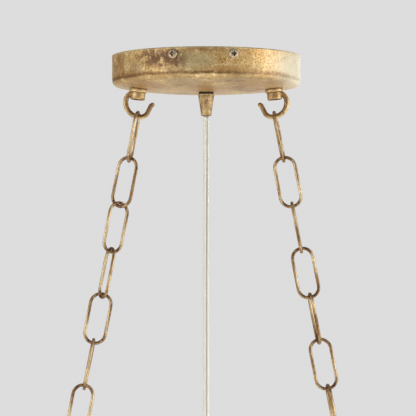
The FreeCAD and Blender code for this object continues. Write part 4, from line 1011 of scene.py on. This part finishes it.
bow_radius = (LINK_INNER_WIDTH + LINK_WIRE) / 2
half_straight = (LINK_INNER_LENGTH - LINK_INNER_WIDTH) / 2
bow = (bow_radius * math.pi, -math.pi, 20)
link_start = (bow_radius, 0, 0)
link_stretches = [(half_straight, 0, 12), bow, (2 * half_straight, 0, 16), bow, (half_straight, 0, 12)]
for side_name, side in SIDES:
    for number, link_turn in enumerate(LINK_TURNS[side_name], start=1):
        node = f"{side_name}_link_{number:02d}"
        link_low, link_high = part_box(node)
        link_bm = drawn_bar(LINK_WIRE / 2, LINK_SIDES, link_start, 0, link_stretches, link_thickness)[0]
        bmesh.ops.remove_doubles(link_bm, verts=link_bm.verts, dist=LINK_MERGE)
        bmesh.ops.recalc_face_normals(link_bm, faces=link_bm.faces)
        light, dark = painted_light_and_wear_layers(link_bm)
        # Painted shade inside the bows, where each link bears on the next, with random dark and pale streaks.
        for vert in link_bm.verts:
            bowed = max(0, (abs(vert.co.z) - half_straight * 0.8) / (bow_radius + half_straight * 0.2))
            inward = bow_radius - Vector((vert.co.x, 0, max(0, abs(vert.co.z) - half_straight))).length
            inside = max(0, 0.5 + inward / LINK_WIRE)
            streak = noise.noise(vert.co * LINK_STREAKS + Vector((number, side, 0)) * 7.3)
            vert[dark] = min(1, max(0, bowed * inside * 1.3 + 1.5 * streak))
            vert[light] = min(1, max(0, (1 - bowed) * (0.25 - 2.2 * streak)))
        place = Matrix.Translation((link_low + link_high) / 2)
        place = place @ Matrix.Rotation(math.radians(-side * CHAIN_LEAN), 4, "Y")
        place = place @ Matrix.Rotation(math.radians(link_turn), 4, "Z")
        bmesh.ops.transform(link_bm, matrix=place, verts=link_bm.verts)
        hammered(link_bm, *LINK_DENTS)
        body = "upper_links" if number == 1 else f"{side_name}_chain"
        dress(link_bm, f"{side_name}_welded_link_{number:02d}", [link_gold], node, body)

# Turned stack: cord bushing, baluster column, bowl and finial on the centre tube, each spun or turned with
# rounded corners. It's leafed like the canopy, as are the crossbar, eye bolts, hub and band screws.
TUBE_CLEAR = 0.0052
FRAME_BODY = "lamp_frame"
frame_gold = leafed_material(
    "frame_leaf", patch_scale=34, rubbed=0.6, tinted=0.4, streaked=0.15, shift=(0.5, 0.2, 0.1)
)
for node in ("crossbar", "left_eye_bolt", "right_eye_bolt", "eye_bolt_nuts", "hub", "band_screws"):
    give_material(node, frame_gold)


def softened(outline, rounding):
    """A solid spun about Z from a closed (radius, height) outline whose corners are rounded."""
    bm = bmesh.new()
    verts = [bm.verts.new((radius, 0, height)) for radius, height in outline]
    for i in range(len(verts)):
        bm.edges.new((verts[i - 1], verts[i]))
    corners = {"offset": rounding, "segments": 5, "profile": 0.5, "material": -1}
    bmesh.ops.bevel(bm, geom=bm.verts[:], affect="VERTICES", **corners)
    ring = bm.verts[:] + bm.edges[:]
    bmesh.ops.spin(bm, geom=ring, cent=(0, 0, 0), axis=(0, 0, 1), angle=math.tau, steps=96, use_merge=True)
    bmesh.ops.recalc_face_normals(bm, faces=bm.faces)
    return bm


def raised(bm, height):
    """The same mesh at a height of its own."""
    bmesh.ops.translate(bm, verts=bm.verts, vec=(0, 0, height))
    return bm


BUSHING_ROUND = 0.001
BUSHING_OUTLINE = (
    (0.0052, 0), (0.012, 0), (0.012, 0.003), (0.0085, 0.012), (0.007, 0.021), (0.007, 0.024),
    (0.0036, 0.024), (0.0036, 0.0122), (0.0052, 0.0122),
)
bushing_bm = raised(softened(BUSHING_OUTLINE, BUSHING_ROUND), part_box("cord_bushing")[0].z)
dress(bushing_bm, "turned_bushing", [frame_gold], "cord_bushing", FRAME_BODY)

COLUMN_ROUND = 0.003
# Each turn of the column: its radius, and its depth as a share of the column's height.
COLUMN_SHARES = (
    (0.013, 0), (0.013, 0.0625), (0.0085, 0.125), (0.0085, 0.25), (0.013, 0.375), (0.019, 0.5625),
    (0.019, 0.6875), (0.013, 0.8125), (0.0085, 0.875), (0.013, 0.9375), (0.013, 1),
)
column_low, column_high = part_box("column")
column_height = column_high.z - column_low.z
column_outline = [(TUBE_CLEAR, 0)] + [(radius, -column_height * share) for radius, share in COLUMN_SHARES]
column_outline.append((TUBE_CLEAR, -column_height))
column_bm = raised(softened(column_outline, COLUMN_ROUND), column_high.z)
dress(column_bm, "baluster_column", [frame_gold], "column", FRAME_BODY)

BOWL_SPIGOT = 0.004
BOWL_ROUND = 0.0012
BOWL_OUTLINE = (
    (0.0263, 0.004), (0.0288, 0.004), (0.0288, 0), (0.032, 0), (0.0295, -0.0095), (0.022, -0.02375),
    (0.012, -0.03325), (0.012, -0.038), (0.0052, -0.038), (0.0052, -0.0355), (0.0195, -0.02125),
    (0.0263, -0.00475),
)
bowl_bm = raised(softened(BOWL_OUTLINE, BOWL_ROUND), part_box("hub_bowl")[1].z - BOWL_SPIGOT)
dress(bowl_bm, "spun_bowl", [frame_gold], "hub_bowl", FRAME_BODY)

FINIAL_NECK = 0.0067
FINIAL_NECK_HEIGHT = 0.006
FINIAL_BALL = 0.013
FINIAL_SINK = 0.0016
FINIAL_DROP = (
    (0.0034, -0.0003), (0.0047, -0.0022), (0.0048, -0.0036), (0.0042, -0.0062), (0.0024, -0.0096),
    (0.0009, -0.0128), (0.0005, -0.0139), (0, -0.014),
)
finial_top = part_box("finial")[1].z
ball_middle = finial_top - FINIAL_NECK_HEIGHT - FINIAL_BALL + FINIAL_SINK
drop_top = ball_middle - FINIAL_BALL + FINIAL_SINK
finial_outline = [(0, finial_top), (FINIAL_NECK, finial_top), (FINIAL_NECK, ball_middle + FINIAL_BALL * 0.93)]
finial_outline += arc_points((0, ball_middle), FINIAL_BALL, 60, -74, 24)
finial_outline += [(radius, drop_top + height) for radius, height in FINIAL_DROP]
dress(lathed(finial_outline), "turned_finial", [frame_gold], "finial", FRAME_BODY)

# Arms and oval band: bent steel tubes, and one strip rolled to an oval with a bead along each edge, all
# leafed after they are joined. The strip is dented a little by hand.
OVAL_HALF_LENGTH = 0.33
OVAL_HALF_WIDTH = 0.165
BAND_INSIDE = 0.0054
BAND_FACE = 0.0077
BAND_BEAD = 0.0015
BAND_SIDES = 288
BAND_DENTS = (0.0003, 75)
ARM_COUNT = 6
for number in range(1, ARM_COUNT + 1):
    give_material(f"arm_{number}", frame_gold)
band_low, band_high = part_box("oval_band")
bead_rise = (band_high.z - band_low.z) / 2 - BAND_BEAD
band_profile = arc_points((BAND_INSIDE + BAND_BEAD, bead_rise), BAND_BEAD, -50, 180, 12)
band_profile += arc_points((BAND_INSIDE + BAND_BEAD, -bead_rise), BAND_BEAD, 180, 410, 12)
band_profile += [(BAND_FACE, -bead_rise * 0.8), (BAND_FACE, bead_rise * 0.8)]
band_bm = lathed([(1 + growth, height) for growth, height in band_profile], BAND_SIDES, closed=True)
for vert in band_bm.verts:
    around = math.atan2(vert.co.y, vert.co.x)
    growth = math.hypot(vert.co.x, vert.co.y) - 1
    vert.co.x = (OVAL_HALF_LENGTH + growth) * math.cos(around)
    vert.co.y = (OVAL_HALF_WIDTH + growth) * math.sin(around)
raised(band_bm, (band_low.z + band_high.z) / 2)
bmesh.ops.recalc_face_normals(band_bm, faces=band_bm.faces)
hammered(band_bm, *BAND_DENTS)
dress(band_bm, "beaded_band", [frame_gold], "oval_band", FRAME_BODY)

# Drip pans: dishes pressed from steel sheet with a fluted rim, leafed with the frame. One sits on each arm's
# post, under the lampholder that holds it down.
PAN_OUTLINE = (
    (0.0052, 0), (0.021, 0), (0.036, 0.004), (0.04, 0.008), (0.0385, 0.00875), (0.0345, 0.0055),
    (0.02025, 0.0015), (0.0052, 0.0015),
)
PAN_ROUND = 0.0006
PAN_FLUTES = 14
FLUTE_START = 0.023
FLUTE_DEPTH = 0.0022
LAMP_TURN = 2.1
lamp_spots = []
for number in range(ARM_COUNT):
    around = math.tau * number / ARM_COUNT
    lamp_spots.append(Vector((OVAL_HALF_LENGTH * math.cos(around), OVAL_HALF_WIDTH * math.sin(around), 0)))


def at_lamps(bm, height):
    """Six copies of a mesh at a height, one at each lamp and each turned its own way, in one bmesh."""
    pattern = bpy.data.meshes.new("lamp_pattern")
    bm.to_mesh(pattern)
    bm.free()
    whole = bmesh.new()
    for number, spot in enumerate(lamp_spots):
        old = len(whole.verts)
        whole.from_mesh(pattern)
        whole.verts.ensure_lookup_table()
        place = Matrix.Translation(spot + Vector((0, 0, height)))
        place = place @ Matrix.Rotation(number * LAMP_TURN, 4, "Z")
        bmesh.ops.transform(whole, matrix=place, verts=whole.verts[old:])
    bpy.data.meshes.remove(pattern)
    return whole


pan_low, pan_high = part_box("drip_pans")
pan_bm = softened(PAN_OUTLINE, PAN_ROUND)
for vert in pan_bm.verts:
    reach = vert.co.xy.length
    if reach > FLUTE_START:
        fluted = 1 - abs(math.sin(math.atan2(vert.co.y, vert.co.x) * PAN_FLUTES / 2)) ** 0.6
        share = (reach - FLUTE_START) / (pan_high.z - pan_low.z + FLUTE_START)
        vert.co.xy *= 1 - FLUTE_DEPTH * min(1, share * 3) * fluted / reach
dress(at_lamps(pan_bm, pan_low.z), "fluted_pans", [frame_gold], "drip_pans", FRAME_BODY)

# Candle lamps: black phenolic holders inside ivory resin sleeves cast with wax drips, and clear flame bulbs
# with a glass stem, one loop of filament and a brass screw base.
SLEEVE_HEIGHT = 0.088
SLEEVE_WALL_RADIUS = 0.0117
SLEEVE_INSIDE = 0.0111
DRIP_RISE = 0.00128
# Each drip: its angle around the sleeve in radians, its length and half its width.
DRIPS = (
    (0.4, 0.031, 0.0021), (1.3, 0.013, 0.0017), (2.2, 0.046, 0.0024), (3.3, 0.02, 0.0018),
    (4.0, 0.036, 0.002), (5.2, 0.017, 0.0023), (5.9, 0.055, 0.0019),
)
DRIP_CROWN = 0.0045
SLEEVE_LIP = 0.0004
SLEEVE_STEPS = 70
SLEEVE_SIDES = 90
sleeve_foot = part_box("candle_sleeves")[0].z
holder_black = grained_material("black_holder", (0.03, 0.03, 0.03), (0.015, 0.015, 0.015), 0.5, 300)
give_material("lampholders", holder_black)
ivory_resin = grained_material("ivory_sleeve", (0.8, 0.71, 0.52), (0.62, 0.5, 0.32), 0.42, 70)


def drip_height(around, depth):
    """How far wax stands off a sleeve at a place around it and a depth below its lip."""
    best = math.sqrt(max(0, 1 - (depth / DRIP_CROWN) ** 2)) * 0.8
    for middle, length, width in DRIPS:
        off = abs(math.remainder(around - middle, math.tau)) * SLEEVE_WALL_RADIUS
        if depth < length:
            into_end = max(0, depth - length + width) / width
            half = width * math.sqrt(max(0, 1 - into_end**2)) * (0.7 + 0.3 * depth / length)
            if off < half:
                best = max(best, math.sqrt(1 - (off / half) ** 2) * (0.75 + 0.25 * into_end))
    return best * DRIP_RISE


sleeve_outline = [(SLEEVE_INSIDE, 0)]
sleeve_outline += [(SLEEVE_WALL_RADIUS, SLEEVE_HEIGHT * i / SLEEVE_STEPS) for i in range(SLEEVE_STEPS)]
lip_centre = (SLEEVE_WALL_RADIUS - SLEEVE_LIP, SLEEVE_HEIGHT - SLEEVE_LIP)
sleeve_outline += arc_points(lip_centre, SLEEVE_LIP, 0, 180, 6)
sleeve_bm = lathed(sleeve_outline, SLEEVE_SIDES, closed=True)
sleeve_bm.normal_update()
for vert in sleeve_bm.verts:
    reach = vert.co.xy.length
    if reach > SLEEVE_WALL_RADIUS - SLEEVE_LIP / 4:
        risen = drip_height(math.atan2(vert.co.y, vert.co.x), SLEEVE_HEIGHT - vert.co.z)
        vert.co.xy *= 1 + risen / reach
sleeves_bm = at_lamps(sleeve_bm, sleeve_foot)
dress(sleeves_bm, "dripped_sleeves", [ivory_resin], "candle_sleeves", FRAME_BODY)

BULB_MIDDLE = 0.1144
BULB_REACH = (0.0174, 0.0329)
BULB_START = -54.6
GLASS_GAUGE = 0.0007
BULB_SIDES = 48
BULB_NECK = ((0.0094, 0.0855), (0.008, 0.076), (0.0063, 0.0645), (0.006, 0.062))
STEM = ((0, 0.0625), (0.0042, 0.0625), (0.0032, 0.07), (0.0016, 0.082), (0.0023, 0.0875), (0, 0.089))
BASE_FOOT = ((0, 0.0382), (0.0052, 0.0384), (0.0058, 0.0405))
BASE_CREST = 0.0062
BASE_ROOT = 0.0056
BASE_THREAD_FOOT = 0.0415
BASE_COLLAR = (0.0605, 0.0619)
THREAD_STEP = 0.003
BASE_TURNS = 6
BASE_SIDES = 36
STEM_SIDES = 24
FILAMENT = 0.0003
FILAMENT_SIDES = 8
FILAMENT_FOOT = (-0.0015, 0, 0.0865)
FILAMENT_SPREAD = 0.005
FILAMENT_RISE = 0.026
bulb_glass, bulb_shader = plain_material("bulb_glass", (0.98, 0.97, 0.94), 0.02)
bulb_shader.inputs["Transmission Weight"].default_value = 1
bulb_shader.inputs["IOR"].default_value = 1.45
bulb_brass = grained_material("bulb_brass", (0.72, 0.53, 0.24), (0.5, 0.34, 0.13), 0.3, 400, 0.9)
filament_metal = grained_material("filament_wire", (0.5, 0.42, 0.33), (0.3, 0.25, 0.2), 0.4, 900, 0.8)
glass_outside = [
    (BULB_REACH[0] * across, BULB_MIDDLE + BULB_REACH[1] * rise)
    for across, rise in arc_points((0, 0), 1, 90, BULB_START, 40)
]
glass_outside[0] = (0, BULB_MIDDLE + BULB_REACH[1])
glass_outside += BULB_NECK
glass_inside = [(max(0, radius - GLASS_GAUGE), height) for radius, height in glass_outside]
glass_inside[0] = (0, glass_outside[0][1] - GLASS_GAUGE)
bulb_bm = lathed(glass_outside + glass_inside[:0:-1] + glass_inside[:1], BULB_SIDES)
base_outline = list(BASE_FOOT)
for turn in range(BASE_TURNS):
    base_outline.append((BASE_CREST, BASE_THREAD_FOOT + THREAD_STEP * turn))
    base_outline.append((BASE_ROOT, BASE_THREAD_FOOT + THREAD_STEP * (turn + 0.5)))
base_outline += [(BASE_CREST, BASE_COLLAR[0]), (BASE_CREST, BASE_COLLAR[1]), (0, BASE_COLLAR[1])]
leg_lean = math.asin((FILAMENT_SPREAD + FILAMENT_FOOT[0]) / FILAMENT_RISE)
loop_turn = math.pi + 2 * leg_lean
loop_length = loop_turn * FILAMENT_SPREAD / math.cos(leg_lean)
loop_stretches = [(FILAMENT_RISE, 0, 2), (loop_length, loop_turn, 24), (FILAMENT_RISE, 0, 2)]
loop_bm = drawn_bar(FILAMENT, FILAMENT_SIDES, FILAMENT_FOOT, -leg_lean, loop_stretches)[0]
bmesh.ops.holes_fill(loop_bm, edges=loop_bm.edges, sides=0)
stem_bm = lathed(STEM, STEM_SIDES)
base_bm = lathed(base_outline, BASE_SIDES)
for material_index, part_bm in enumerate((stem_bm, base_bm, loop_bm)):
    for face in part_bm.faces:
        face.material_index = material_index
    join(bulb_bm, part_bm)
bulb_finishes = [bulb_glass, bulb_brass, filament_metal]
dress(at_lamps(bulb_bm, sleeve_foot), "flame_bulbs", bulb_finishes, "bulbs", FRAME_BODY)
